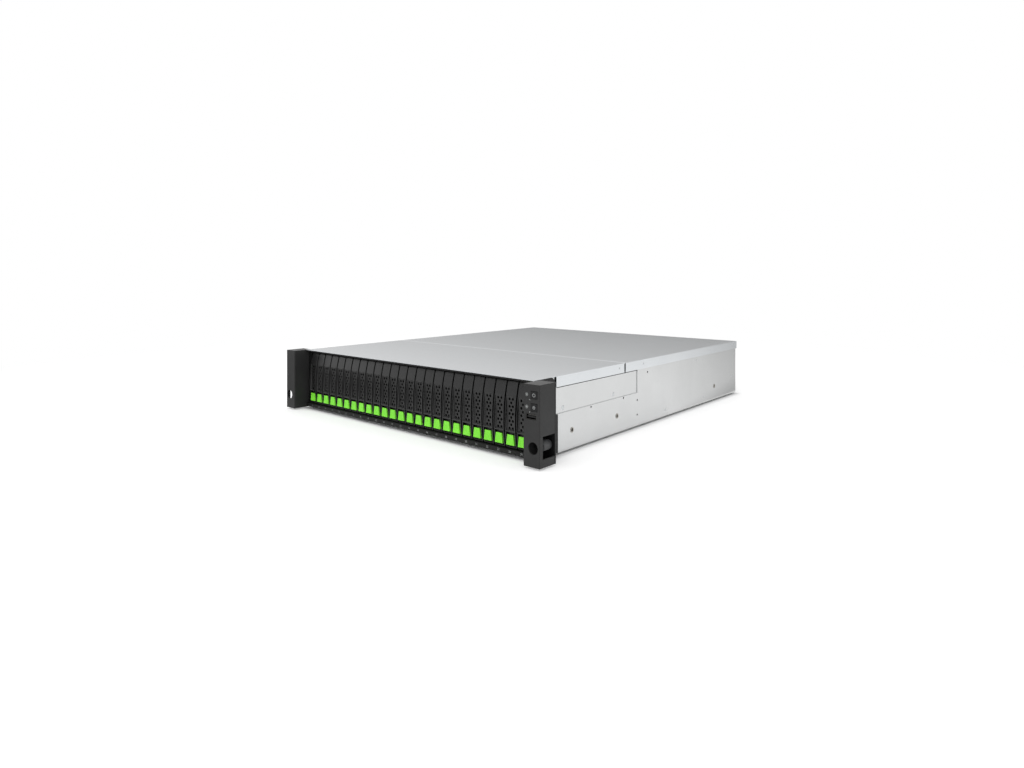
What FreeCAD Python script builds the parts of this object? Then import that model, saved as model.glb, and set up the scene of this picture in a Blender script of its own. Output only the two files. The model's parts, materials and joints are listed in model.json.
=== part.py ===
"""Rack-mounted storage array, two rack units high, with twenty-five hot-swap drive trays.

X runs to the right across the front, Y runs back into the rack and Z runs up, in millimetres.
Y = 0 is the plane that bears on the rack rails, X = 0 is the middle and Z = 0 is the underside.
"""
import FreeCAD, Part
import math
import os
import re
import Sketcher

SIZES = {
    # How far a cut runs past the faces that it opens
    "overcut": 1.0,
    # Chassis sheet metal
    "chassis_width": 438.0,
    "chassis_height": 88.0,
    "rear_reach": 562.0,
    "pan_sheet": 1.2,
    "lid_sheet": 1.0,
    "lid_gap": 0.2,
    "lid_flange": 12.5,
    "lid_seam": 185.5,
    "seam_gap": 0.6,
    "flange_slot": 4.0,
    "lid_overhang": 2.0,
    "panel_rear": 219.4,
    "panel_bottom": 45.0,
    "joggle": 0.8,
    # Holes for the slide rails
    "rail_hole": 2.5,
    "rail_hole_height": 22.0,
    "rail_hole_front": 65.3,
    "rail_hole_middle": 166.6,
    "rail_hole_rear": 471.8,
    # Front frame
    "front_reach": 7.0,
    "frame_plate": 2.0,
    "frame_end_gap": 0.4,
    "frame_corner": 5.0,
    "bay_margin": 0.2,
    "header_gap": 0.65,
    "sill_bottom": 2.0,
    "sill_top": 7.6,
    "sill_bevel": 0.8,
    # Drive bays
    "bays": 25,
    "bay_pitch": 16.8,
    "guide_front": 8.0,
    "guide_rear_gap": 4.0,
    "guide_plate": 1.6,
    "guide_leg": 2.0,
    "guide_end": 1.5,
    "guide_gap": 0.3,
    "rib_width": 0.9,
    "rib_height": 3.0,
    # Drive tray
    "tray_gap": 2.0,
    "tray_bottom": 8.3,
    "rail": 3.2,
    "cheek": 1.2,
    "cheek_front": 1.6,
    "cheek_knee": 62.0,
    "cheek_rear": 18.0,
    "drive_front": 24.0,
    "drive_length": 100.45,
    "drive_height": 69.85,
    "bow_radius": 150.0,
    "bow_height": 40.0,
    "bow_reach": 7.0,
    "well_top": 26.2,
    "well_floor": 1.4,
    "well_back": 1.5,
    # Lever and its hinge
    "pivot_depth": 3.0,
    "pivot_height": 79.6,
    "pin_radius": 1.0,
    "pin_gap": 0.15,
    "lug_radius": 2.7,
    "lug_rear": 6.2,
    "lever_gap": 0.3,
    "lever_top": 83.2,
    "lever_shell": 1.6,
    "lever_back": 2.4,
    "lever_web": 0.6,
    "tongue_side_gap": 0.6,
    "tongue_depth": 2.0,
    "tongue_drop": 2.6,
    "recess_rim": 1.2,
    "recess_bottom": 28.6,
    "recess_top": 66.5,
    "recess_dip": 1.7,
    "recess_dip_width": 6.4,
    "grille_sheet": 2.0,
    "grille_top": 63.1,
    "grille_row": 4.09,
    "grille_column": 4.7,
    "grille_hole": 1.4,
    "grille_rows": 5,
    # Latch
    "latch_bottom": 12.0,
    "latch_top": 23.2,
    "latch_lip": 1.4,
    "latch_lip_depth": 1.1,
    "latch_reach": 6.4,
    "latch_side_gap": 0.35,
    "latch_taper": 0.85,
    # Midplane
    "socket_gap": 0.5,
    "socket_depth": 7.0,
    "socket_width": 7.2,
    "socket_height": 42.0,
    "socket_bottom": 15.0,
    "board": 2.4,
    "board_margin": 3.0,
    "vents": 12,
    "vent_width": 22.0,
    "vent_bottom": 61.0,
    "vent_tall": 20.0,
    # Rack ears: a 19 inch rack takes 482.6 mm over both, and 465.1 mm between their screws
    "rack_plane": 2.5,
    "ear_reach": 22.3,
    "screw_side": 13.55,
    "ear_depth": 26.7,
    "ear_wall": 2.0,
    "ear_gap": 0.4,
    "ear_chamfer": 1.0,
    "bracket_sheet": 2.0,
    "bracket_leg": 1.6,
    "bracket_reach": 31.0,
    "bracket_step": 4.3,
    "step_bottom": 1.5,
    "step_top": 45.0,
    "bracket_corner": 6.0,
    "bracket_lid_gap": 2.0,
    "screw_height": 20.7,
    "screw_hole": 6.5,
    "screw_radius": 2.5,
    "screw_neck": 2.1,
    "neck_reach": 0.5,
    "screw_gap": 0.3,
    "screw_reach": 10.0,
    "knob_radius": 6.0,
    "knob_length": 13.7,
    "knob_chamfer": 1.0,
    "window_front": 21.2,
    "window_bottom": 9.2,
    "window_top": 33.3,
    # Controls on the right ear
    "button_side": 7.3,
    "button_width": 8.2,
    "button_tall": 8.0,
    "button_gap": 0.3,
    "button_proud": 0.4,
    "button_length": 6.0,
    "button_lip": 0.7,
    "power_height": 76.6,
    "locate_height": 63.6,
    "light_width": 1.2,
    "light_side": 13.2,
    "light_drop": 5.2,
    "icon_light_width": 1.8,
    "icon_light_side": 17.0,
    "light_length": 6.0,
    "light_gap": 0.05,
    "usb_side": 11.2,
    "usb_height": 53.7,
    "usb_width": 13.2,
    "usb_tall": 5.8,
    "usb_shell": 0.4,
    "usb_tongue": 1.8,
    "usb_tongue_side": 1.0,
    "usb_length": 13.5,
    "usb_set_back": 0.2,
    # Rear bays
    "controller_bay": 226.0,
    "divider": 1.2,
    "shelf": 1.0,
    "module_gap": 0.3,
    "module_front_gap": 8.0,
    "supply_gap": 2.4,
    "case_sheet": 1.0,
    # Controllers
    "port_plate": 2.0,
    "port_depth": 11.0,
    "port_wall": 1.2,
    "port_bottom": 8.5,
    "data_ports": 4,
    "data_port_pitch": 17.5,
    "data_port_width": 14.2,
    "data_port_height": 9.2,
    "port_edge": 10.0,
    "net_ports": 2,
    "net_port_pitch": 17.0,
    "net_port_width": 12.6,
    "net_port_height": 11.2,
    "port_space": 8.0,
    "slots": 12,
    "slot_pitch": 8.6,
    "slot_width": 5.0,
    "slot_bottom": 22.0,
    "slot_top": 36.0,
    "controller_board": 1.6,
    "controller_board_height": 5.0,
    "board_inset": 6.0,
    # Controller cam lever
    "cam_pivot_edge": 10.0,
    "cam_stand": 3.6,
    "cam_length": 72.0,
    "cam_thickness": 3.6,
    "cam_tall": 13.0,
    "cam_tip": 12.0,
    "cam_bend": 3.0,
    "cam_pin": 1.5,
    "cam_pin_gap": 0.3,
    "cam_lug": 2.4,
    "cam_lug_width": 7.2,
    # Power supplies
    "fan_side": 60.0,
    "fan_depth": 25.0,
    "fan_edge": 4.0,
    "fan_bottom": 20.0,
    "fan_bore": 28.5,
    "fan_tip": 26.0,
    "fan_hub": 12.0,
    "fan_shaft": 2.0,
    "fan_shaft_gap": 0.2,
    "fan_strut": 3.0,
    "fan_strut_depth": 4.0,
    "fan_running_gap": 2.0,
    "fan_blades": 7,
    "blade_thickness": 1.6,
    "blade_chord": 13.0,
    "blade_rise": 10.0,
    "rear_plate": 1.5,
    "grille_slots": 4,
    "grille_slot": 3.6,
    "grille_pitch": 5.8,
    "inlet_width": 27.0,
    "inlet_tall": 20.0,
    "inlet_wall": 1.8,
    "inlet_depth": 18.0,
    "inlet_cavity": 15.0,
    "inlet_edge": 5.0,
    "inlet_bottom": 10.0,
    "inlet_blade_width": 2.0,
    "inlet_blade_tall": 4.0,
    "inlet_blade_length": 9.0,
    "inlet_blade_space": 7.0,
    "inlet_blade_shift": 2.0,
    "plug_tab_width": 44.0,
    "plug_tab_tall": 10.0,
    "plug_tab_height": 14.0,
    # Power supply bail handle
    "bail_width": 28.0,
    "bail_length": 38.0,
    "bail_bar": 4.0,
    "bail_stand": 3.0,
    "bail_pivot_height": 76.0,
    "bail_pin": 1.3,
    "bail_pin_gap": 0.3,
    "bail_lug": 2.4,
    "bail_lug_side": 7.0,
}

# The trays whose lever and latch move on joints of their own.
WORKED_TRAYS = (1, 13, 25)

doc = FreeCAD.newDocument("storage_array")
sheet = doc.addObject("Spreadsheet::Sheet", "dim")
for row, (alias, number) in enumerate(SIZES.items(), 1):
    sheet.set(f"A{row}", alias)
    sheet.set(f"B{row}", str(number))
    sheet.setAlias(f"B{row}", alias)
doc.recompute()

# Places that several pieces share, worked out from the driving dimensions.
HALF = "chassis_width / 2"
WALL_TOP = "(chassis_height - lid_sheet)"
TRAY_TOP = "(tray_bottom + 2 * rail + drive_height)"
TRAY_REAR = "(drive_front + drive_length)"
HEADER_BOTTOM = f"({TRAY_TOP} + header_gap)"
BAY_HALF = "(bays * bay_pitch / 2 + bay_margin)"
TRAY_HALF = "((bay_pitch - tray_gap) / 2)"
CHEEK_HALF = f"({TRAY_HALF} - cheek)"
SOCKET_FRONT = f"({TRAY_REAR} + socket_gap)"
BOARD_FRONT = f"({SOCKET_FRONT} + socket_depth)"
BOARD_REAR = f"({BOARD_FRONT} + board)"
MODULE_FRONT = f"({BOARD_REAR} + module_front_gap)"
MODULE_LENGTH = f"(rear_reach - {MODULE_FRONT})"
BAY_HEIGHT = f"(({WALL_TOP} - pan_sheet - shelf) / 2)"
CONTROLLER_HALF = "(controller_bay / 2 - module_gap)"
CONTROLLER_HEIGHT = f"({BAY_HEIGHT} - 2 * module_gap)"
SUPPLY_INNER = "(controller_bay / 2 + divider + module_gap)"
SUPPLY_OUTER = f"({HALF} - pan_sheet - supply_gap)"
SUPPLY_WIDTH = f"({SUPPLY_OUTER} - {SUPPLY_INNER})"
SUPPLY_HEIGHT = f"({WALL_TOP} - pan_sheet - 2 * module_gap)"
EAR_INNER = f"({HALF} + ear_gap)"
EAR_OUTER = f"({HALF} + ear_reach)"
SCREW_X = f"({HALF} + screw_side)"
EAR_BACK = "(rack_plane - bracket_sheet)"
EAR_TOP = "(chassis_height - ear_gap)"
BUTTON_X = f"({EAR_OUTER} - button_side)"
USB_X = f"({EAR_OUTER} - usb_side)"
CAM_PIVOT_X = f"({CONTROLLER_HALF} - cam_pivot_edge)"
CAM_PIVOT_Y = "(rear_reach + cam_stand)"
FAN_X = "(fan_edge + fan_side / 2)"
FAN_Z = "(fan_bottom + fan_side / 2)"
FAN_REAR = "(rear_reach - rear_plate)"
INLET_X = f"({SUPPLY_WIDTH} - inlet_edge - inlet_width / 2)"
INLET_Z = "(inlet_bottom + inlet_tall / 2)"
BAIL_PIVOT_Y = "(rear_reach + bail_stand)"


def cell(text):
    """Turn the size names in a formula into references to the sheet."""
    def prefixed(word):
        return f"dim.{word.group(0)}" if word.group(0) in SIZES else word.group(0)

    return re.sub(r"[a-z_]{2,}", prefixed, text)


def bind(thing, prop, text):
    thing.setExpression(prop, cell(text))


def origin(body, role):
    return next(feature for feature in body.Origin.OriginFeatures if feature.Role == role)


def new_body(label):
    body = doc.addObject("PartDesign::Body", label)
    body.Label = label
    return body


def rect(left, bottom, right, top):
    return [(left, bottom), (right, bottom), (right, top), (left, top)]


# The controllers' connectors, in a row along the rear plate.
PORTS_LEFT = f"(-{CONTROLLER_HALF} + port_edge)"
NET_LEFT = f"({PORTS_LEFT} + data_port_pitch * data_ports + port_space)"
NET_RIGHT = f"({NET_LEFT} + net_port_pitch * (net_ports - 1) + net_port_width)"
PORT_BLOCK = rect(
    f"{PORTS_LEFT} - port_wall",
    "port_bottom - port_wall",
    f"{NET_RIGHT} + port_wall",
    "port_bottom + net_port_height + port_wall",
)


def middle_rect(across, up, width, height):
    aside = f"{width} / 2"
    above = f"{height} / 2"
    return rect(f"{across} - {aside}", f"{up} - {above}", f"{across} + {aside}", f"{up} + {above}")


def disc(across, up, radius):
    return {"centre": (across, up), "radius": radius}


def hold(sketch, kind, geometry, end, start, text):
    at = sketch.addConstraint(Sketcher.Constraint(kind, -1, 1, geometry, end, start))
    bind(sketch, f"Constraints[{at}]", text)


def hold_point(sketch, geometry, end, start, place):
    hold(sketch, "DistanceX", geometry, end, start[0], place[0])
    hold(sketch, "DistanceY", geometry, end, start[1], place[1])


def draw_disc(sketch, shape):
    circle = Part.Circle(FreeCAD.Vector(1, 1, 0), FreeCAD.Vector(0, 0, 1), 1)
    at = sketch.addGeometry(circle, False)
    hold_point(sketch, at, 3, (1, 1), shape["centre"])
    radius = sketch.addConstraint(Sketcher.Constraint("Radius", at, 1))
    bind(sketch, f"Constraints[{radius}]", shape["radius"])


def draw_outline(sketch, corners):
    """Straight edges from corner to corner, each corner held by its two formulas."""
    count = len(corners)
    turn = 2 * math.pi / count
    start = [FreeCAD.Vector(math.cos(turn * k), math.sin(turn * k), 0) for k in range(count)]
    first = sketch.GeometryCount
    for k in range(count):
        sketch.addGeometry(Part.LineSegment(start[k], start[(k + 1) % count]), False)
    for k in range(count):
        sketch.addConstraint(Sketcher.Constraint("Coincident", first + k, 2, first + (k + 1) % count, 1))
    for k, corner in enumerate(corners):
        hold_point(sketch, first + k, 1, (start[k].x, start[k].y), corner)


def new_sketch(body, plane, start):
    sketch = body.newObject("Sketcher::SketchObject", f"{body.Name}_sketch")
    sketch.AttachmentSupport = [(origin(body, plane), "")]
    sketch.MapMode = "FlatFace"
    # The front plane's own normal points forwards, against Y.
    bind(sketch, "AttachmentOffset.Base.z", f"-({start})" if plane == "XZ_Plane" else start)
    return sketch


def draw(body, plane, start, shapes):
    sketch = new_sketch(body, plane, start)
    for shape in shapes:
        if isinstance(shape, dict):
            draw_disc(sketch, shape)
        else:
            draw_outline(sketch, shape)
    return sketch


def raise_pad(body, sketch, plane, length):
    pad = body.newObject("PartDesign::Pad", f"{body.Name}_pad")
    pad.Profile = sketch
    bind(pad, "Length", length)
    pad.Reversed = plane == "XZ_Plane"
    doc.recompute()
    return pad


def pad(body, plane, start, length, *shapes):
    """Material from the plane at start, towards +X, +Y or +Z, for the length."""
    return raise_pad(body, draw(body, plane, start, shapes), plane, length)


def pocket(body, plane, start, length, *shapes):
    """A cut from the plane at start, towards +X, +Y or +Z, for the length."""
    before = body.Shape.Volume
    sketch = draw(body, plane, start, shapes)
    cut = body.newObject("PartDesign::Pocket", f"{body.Name}_pocket")
    cut.Profile = sketch
    bind(cut, "Length", length)
    cut.Reversed = plane != "XZ_Plane"
    doc.recompute()
    if body.Shape.Volume >= before:
        raise RuntimeError(f"a cut in {body.Label} takes nothing away")
    return cut


def cut_through(body, plane, start, length, *shapes):
    """A cut through the length, and past both its ends."""
    return pocket(body, plane, f"{start} - overcut", f"{length} + 2 * overcut", *shapes)


def row_of(body, features, axis, length, count, backwards=False):
    """Repeat features along an axis, the length being from the first to the last."""
    pattern = body.newObject("PartDesign::LinearPattern", f"{body.Name}_row")
    pattern.Originals = features
    pattern.Direction = (origin(body, axis), [""])
    pattern.Reversed = backwards
    bind(pattern, "Length", length)
    bind(pattern, "Occurrences", count)
    body.Tip = pattern
    doc.recompute()
    return pattern


def ring_of(body, features, axis, count):
    pattern = body.newObject("PartDesign::PolarPattern", f"{body.Name}_ring")
    pattern.Originals = features
    pattern.Axis = (origin(body, axis), [""])
    pattern.Angle = 360
    bind(pattern, "Occurrences", count)
    body.Tip = pattern
    doc.recompute()
    return pattern


def both_sides(body, features):
    mirror = body.newObject("PartDesign::Mirrored", f"{body.Name}_mirror")
    mirror.Originals = features
    mirror.MirrorPlane = (origin(body, "YZ_Plane"), [""])
    body.Tip = mirror
    doc.recompute()
    return mirror


def revolve(body, profile):
    """Turn a profile of distance along Y and radius about the Y axis."""
    turned = body.newObject("PartDesign::Revolution", f"{body.Name}_turned")
    turned.Profile = draw(body, "YZ_Plane", "0", [profile])
    turned.ReferenceAxis = (origin(body, "Y_Axis"), [""])
    turned.Angle = 360
    doc.recompute()
    return turned


def group(label, pieces, x="0", y="0", z="0"):
    """Pieces kept as separate solids in one node, moved together to their place."""
    compound = doc.addObject("Part::Compound", label)
    compound.Label = label
    compound.Links = pieces
    bind(compound, "Placement.Base.x", x)
    bind(compound, "Placement.Base.y", y)
    bind(compound, "Placement.Base.z", z)
    return compound


def mirrored(label, piece):
    twin = doc.addObject("Part::Mirroring", label)
    twin.Label = label
    twin.Source = piece
    twin.Normal = (1, 0, 0)
    return twin


# Chassis

def base_pan():
    """Floor and side walls; the upper front of each wall is joggled inwards."""
    pan = new_body("base_pan")
    inner = f"({HALF} - pan_sheet)"
    channel = [
        (f"-{HALF}", "0"),
        (HALF, "0"),
        (HALF, WALL_TOP),
        (inner, WALL_TOP),
        (inner, "pan_sheet"),
        (f"-{inner}", "pan_sheet"),
        (f"-{inner}", WALL_TOP),
        (f"-{HALF}", WALL_TOP),
    ]
    pad(pan, "XZ_Plane", "0", "rear_reach", channel)
    liner = rect("0", "panel_bottom - pan_sheet", "panel_rear + pan_sheet", WALL_TOP)
    inside = pad(pan, "YZ_Plane", f"{inner} - joggle", "joggle", liner)
    panel = rect("-overcut", "panel_bottom", "panel_rear", f"{WALL_TOP} + overcut")
    outside = pocket(pan, "YZ_Plane", f"{HALF} - joggle", "joggle + overcut", panel)
    along = ("rail_hole_front", "rail_hole_middle", "rail_hole_rear")
    rounds = [disc(place, "rail_hole_height", "rail_hole") for place in along]
    holes = cut_through(pan, "YZ_Plane", inner, "pan_sheet", *rounds)
    both_sides(pan, [inside, outside, holes])
    return pan


def lid(label, front, rear, flange_front, flange_rear):
    """A flat cover whose side flanges hang outside the pan's walls."""
    cover = new_body(label)
    inner = f"({HALF} + lid_gap)"
    outer = f"({inner} + lid_sheet)"
    narrow = f"({HALF} - lid_gap)"
    plate = [
        (f"-{narrow}", front),
        (narrow, front),
        (narrow, flange_front),
        (outer, flange_front),
        (outer, rear),
        (f"-{outer}", rear),
        (f"-{outer}", flange_front),
        (f"-{narrow}", flange_front),
    ]
    pad(cover, "XY_Plane", WALL_TOP, "lid_sheet", plate)
    flange = rect(inner, flange_front, outer, flange_rear)
    side = pad(cover, "XY_Plane", "chassis_height - lid_flange", "lid_flange", flange)
    both_sides(cover, [side])
    return cover


def front_frame():
    """Plate with a window for the trays, and a header and a sill that stand out from it."""
    frame = new_body("front_frame")
    end = f"({HALF} - frame_end_gap)"
    cut = "frame_corner"
    # The two lower corners are turned off in two short facets.
    near = f"{cut} * (1 - cos(45 deg))"
    edge = [
        (f"-{end} + {cut}", "sill_bottom"),
        (f"{end} - {cut}", "sill_bottom"),
        (f"{end} - {near}", f"sill_bottom + {near}"),
        (end, f"sill_bottom + {cut}"),
        (end, WALL_TOP),
        (f"-{end}", WALL_TOP),
        (f"-{end}", f"sill_bottom + {cut}"),
        (f"-{end} + {near}", f"sill_bottom + {near}"),
    ]
    window = rect(f"-{BAY_HALF}", "sill_top", BAY_HALF, HEADER_BOTTOM)
    pad(frame, "XZ_Plane", "-frame_plate", "frame_plate", edge, window)
    reach = "front_reach - frame_plate"
    pad(frame, "XZ_Plane", "-front_reach", reach, rect(f"-{end}", HEADER_BOTTOM, end, WALL_TOP))
    sill = edge[:3] + [(end, f"sill_bottom + {cut}"), (end, "sill_top"), (f"-{end}", "sill_top")] + edge[6:]
    pad(frame, "XZ_Plane", "-front_reach", reach, sill)
    bevel = [
        ("-front_reach", "sill_top - sill_bevel"),
        ("-front_reach + sill_bevel", "sill_top"),
        ("-front_reach", "sill_top"),
    ]
    pocket(frame, "YZ_Plane", f"-{end}", f"2 * {end}", bevel)
    return frame


def bay_guides():
    """Two combs: the trays run between their ribs."""
    half = f"({BAY_HALF} + guide_end)"
    rear = f"({TRAY_REAR} - guide_rear_gap)"
    first = "-bays * bay_pitch / 2"
    span = "bays * bay_pitch"
    top = "(tray_bottom - guide_gap)"
    combs = []

    lower = new_body("lower_guide")
    channel = [
        ("guide_front", "pan_sheet"),
        ("guide_front + guide_leg", "pan_sheet"),
        ("guide_front + guide_leg", f"{top} - guide_plate"),
        (f"{rear} - guide_leg", f"{top} - guide_plate"),
        (f"{rear} - guide_leg", "pan_sheet"),
        (rear, "pan_sheet"),
        (rear, top),
        ("guide_front", top),
    ]
    pad(lower, "YZ_Plane", f"-{half}", f"2 * {half}", channel)
    combs.append((lower, top, "rib_height"))

    upper = new_body("upper_guide")
    roof = f"({TRAY_TOP} + guide_gap)"
    pad(upper, "YZ_Plane", f"-{half}", f"2 * {half}", rect("guide_front", roof, rear, WALL_TOP))
    combs.append((upper, f"{roof} - rib_height", "rib_height"))

    for comb, bottom, height in combs:
        foot = rect(f"{first} - rib_width / 2", "guide_front", f"{first} + rib_width / 2", rear)
        rib = pad(comb, "XY_Plane", bottom, height, foot)
        row_of(comb, [rib], "X_Axis", span, "bays + 1")
    return group("bay_guides", [lower, upper])


def midplane_board():
    """Board behind the drives, with a row of vents above the sockets."""
    board = new_body("midplane_board")
    half = f"({HALF} - pan_sheet - joggle - board_margin)"
    outline = rect(f"-{half}", "pan_sheet", half, f"{WALL_TOP} - module_gap")
    pad(board, "XZ_Plane", BOARD_FRONT, "board", outline)
    span = "(2 * bay_pitch * (vents - 1))"
    slot = middle_rect(f"(-{span} / 2)", "(vent_bottom + vent_tall / 2)", "vent_width", "vent_tall")
    vent = cut_through(board, "XZ_Plane", BOARD_FRONT, "board", slot)
    row_of(board, [vent], "X_Axis", span, "vents")
    return board


def drive_sockets():
    """One connector for each drive, on the front of the midplane board."""
    sockets = new_body("drive_sockets")
    first = "-(bays - 1) * bay_pitch / 2"
    top = "socket_bottom + socket_height"
    block = rect(f"{first} - socket_width / 2", "socket_bottom", f"{first} + socket_width / 2", top)
    solid = pad(sockets, "XZ_Plane", SOCKET_FRONT, "socket_depth", block)
    row_of(sockets, [solid], "X_Axis", "(bays - 1) * bay_pitch", "bays")
    return sockets


# Drive trays

def bow_arc(sketch, radius, upper, lower, lower_depth=False):
    """An arc about the bow's centre, its ends held by height, or the lower one by its depth."""
    size = SIZES["bow_radius"]
    middle = FreeCAD.Vector(size - SIZES["bow_reach"], SIZES["bow_height"], 0)
    # A lower end that is held by depth lies above the bow's widest point.
    rise = (0.2, 0.1 if lower_depth else -0.2)
    circle = Part.Circle(middle, FreeCAD.Vector(0, 0, 1), size)
    at = sketch.addGeometry(Part.ArcOfCircle(circle, math.pi - rise[0], math.pi - rise[1]), False)
    hold_point(sketch, at, 3, (middle.x, middle.y), ("bow_radius - bow_reach", "bow_height"))
    held = sketch.addConstraint(Sketcher.Constraint("Radius", at, size))
    bind(sketch, f"Constraints[{held}]", radius)
    hold(sketch, "DistanceY", at, 1, middle.y + size * math.sin(rise[0]), upper)
    if lower_depth:
        hold(sketch, "DistanceX", at, 2, middle.x - size * math.cos(rise[1]), lower)
    else:
        hold(sketch, "DistanceY", at, 2, middle.y + size * math.sin(rise[1]), lower)
    return at


def draw_path(sketch, start, corners, finish):
    """Straight edges from one arc's end to another's, through held corners."""
    last = start
    spots = [FreeCAD.Vector(10 + 5 * k, 5 * k, 0) for k in range(len(corners))]
    for k, corner in enumerate(corners):
        tail = spots[k - 1] if k else FreeCAD.Vector(1, -5, 0)
        at = sketch.addGeometry(Part.LineSegment(tail, spots[k]), False)
        sketch.addConstraint(Sketcher.Constraint("Coincident", last[0], last[1], at, 1))
        hold_point(sketch, at, 2, (spots[k].x, spots[k].y), corner)
        last = (at, 2)
    tail = spots[-1] if corners else FreeCAD.Vector(1, -5, 0)
    at = sketch.addGeometry(Part.LineSegment(tail, tail + FreeCAD.Vector(3, 9, 0)), False)
    sketch.addConstraint(Sketcher.Constraint("Coincident", last[0], last[1], at, 1))
    sketch.addConstraint(Sketcher.Constraint("Coincident", at, 2, finish[0], finish[1]))


def tray_carrier(label, worked):
    """Cheeks and rails as one C, with a well for the latch; a worked one has the hinge pin."""
    carrier = new_body(label)
    rail_top = "(tray_bottom + rail)"
    rail_under = f"({TRAY_TOP} - rail)"
    sketch = new_sketch(carrier, "YZ_Plane", f"-{TRAY_HALF}")
    bow = bow_arc(sketch, "bow_radius", "well_top", "tray_bottom")
    lug_flat = "(lug_radius * tan(22.5 deg))"
    lug = [
        ("pivot_depth - lug_radius", f"pivot_height - {lug_flat}"),
        ("pivot_depth - lug_radius", f"pivot_height + {lug_flat}"),
        (f"pivot_depth - {lug_flat}", "pivot_height + lug_radius"),
        (f"pivot_depth + {lug_flat}", "pivot_height + lug_radius"),
    ]
    if not worked:
        lug = [("pivot_depth - lug_radius", f"pivot_height + {lug_flat}")]
    corners = [
        ("-cheek_front", "well_top"),
        ("-cheek_front", "cheek_knee"),
        *lug,
        ("lug_rear", TRAY_TOP),
        (TRAY_REAR, TRAY_TOP),
        (TRAY_REAR, rail_under),
        ("cheek_rear", rail_under),
        ("cheek_rear", rail_top),
        (TRAY_REAR, rail_top),
        (TRAY_REAR, "tray_bottom"),
    ]
    draw_path(sketch, (bow, 1), corners, (bow, 2))
    raise_pad(carrier, sketch, "YZ_Plane", f"2 * {TRAY_HALF}")
    window = rect(f"-{CHEEK_HALF}", "well_top", CHEEK_HALF, rail_under)
    cut_through(carrier, "XZ_Plane", "-bow_reach", "bow_reach + cheek_rear", window)
    well = rect(f"-{CHEEK_HALF}", "tray_bottom + well_floor", CHEEK_HALF, "well_top + overcut")
    pocket(carrier, "XZ_Plane", "-bow_reach - overcut", "bow_reach + overcut - well_back", well)
    if worked:
        above = rect("-bow_reach", f"{rail_under} - overcut", "lug_rear", f"{TRAY_TOP} + overcut")
        pocket(carrier, "YZ_Plane", f"-{CHEEK_HALF}", f"2 * {CHEEK_HALF}", above)
        pin = disc("pivot_depth", "pivot_height", "pin_radius")
        pad(carrier, "YZ_Plane", f"-{CHEEK_HALF}", f"2 * {CHEEK_HALF}", pin)
    return carrier


def tray_drive():
    """A 2.5 inch drive between the rails, with its connector gap at the rear."""
    drive = new_body("tray_drive")
    low = "(tray_bottom + rail)"
    side = rect("drive_front", low, TRAY_REAR, f"{low} + drive_height")
    pad(drive, "YZ_Plane", f"-{TRAY_HALF}", f"2 * {TRAY_HALF}", side)
    return drive


def diamond(across, up, radius):
    return [
        (f"{across} - {radius}", up),
        (across, f"{up} - {radius}"),
        (f"{across} + {radius}", up),
        (across, f"{up} + {radius}"),
    ]


def tray_lever(label, worked):
    """The tray's black face: a bowed head over a recessed grille; a worked one has its hinge."""
    lever = new_body(label)
    bottom = "(well_top + lever_gap)"
    sketch = new_sketch(lever, "YZ_Plane", f"-{TRAY_HALF}")
    face = bow_arc(sketch, "bow_radius", "lever_top", bottom)
    back = bow_arc(sketch, "bow_radius - lever_shell", "lever_top", "-lever_back", True)
    draw_path(sketch, (face, 1), [], (back, 1))
    draw_path(sketch, (back, 2), [("-lever_back", bottom)], (face, 2))
    raise_pad(lever, sketch, "YZ_Plane", f"2 * {TRAY_HALF}")
    if worked:
        inner = f"({CHEEK_HALF} - lever_gap)"
        block = [
            ("-lever_web", "pivot_height - pin_radius"),
            ("pivot_depth - pin_radius", "pivot_height - lug_radius"),
            ("pivot_depth + pin_radius", "pivot_height - lug_radius"),
            ("pivot_depth + lug_radius", "pivot_height - pin_radius"),
            ("pivot_depth + lug_radius", "pivot_height + pin_radius"),
            ("pivot_depth + pin_radius", "pivot_height + lug_radius"),
            ("pivot_depth - pin_radius", "pivot_height + lug_radius"),
            ("-lever_web", "pivot_height + 2 * pin_radius"),
        ]
        pad(lever, "YZ_Plane", f"-{inner}", f"2 * {inner}", block)
        bore = disc("pivot_depth", "pivot_height", "pin_radius + pin_gap")
        pocket(lever, "YZ_Plane", f"-{TRAY_HALF}", f"2 * {TRAY_HALF}", bore)
        tongue = middle_rect("0", bottom, f"(2 * ({CHEEK_HALF} - tongue_side_gap))", "(2 * tongue_drop)")
        pad(lever, "XZ_Plane", "-lever_back - tongue_depth", "tongue_depth", tongue)

    rim = f"({TRAY_HALF} - recess_rim)"
    recess = [
        (f"-{rim}", "recess_bottom"),
        (rim, "recess_bottom"),
        (rim, "recess_top"),
        ("recess_dip_width / 2", "recess_top - recess_dip"),
        ("-recess_dip_width / 2", "recess_top - recess_dip"),
        (f"-{rim}", "recess_top"),
    ]
    sheet_front = "(-lever_back - grille_sheet)"
    pocket(lever, "XZ_Plane", "-bow_reach - overcut", f"{sheet_front} + bow_reach + overcut", recess)
    pair = [diamond(f"{side}grille_column / 2", "grille_top", "grille_hole") for side in ("-", "")]
    pairs = cut_through(lever, "XZ_Plane", sheet_front, "grille_sheet", *pair)
    row_of(lever, [pairs], "Z_Axis", "2 * grille_row * (grille_rows - 1)", "grille_rows", True)
    single = diamond("0", "grille_top - grille_row", "grille_hole")
    singles = cut_through(lever, "XZ_Plane", sheet_front, "grille_sheet", single)
    row_of(lever, [singles], "Z_Axis", "2 * grille_row * (grille_rows - 2)", "grille_rows - 1", True)
    return lever


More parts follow.
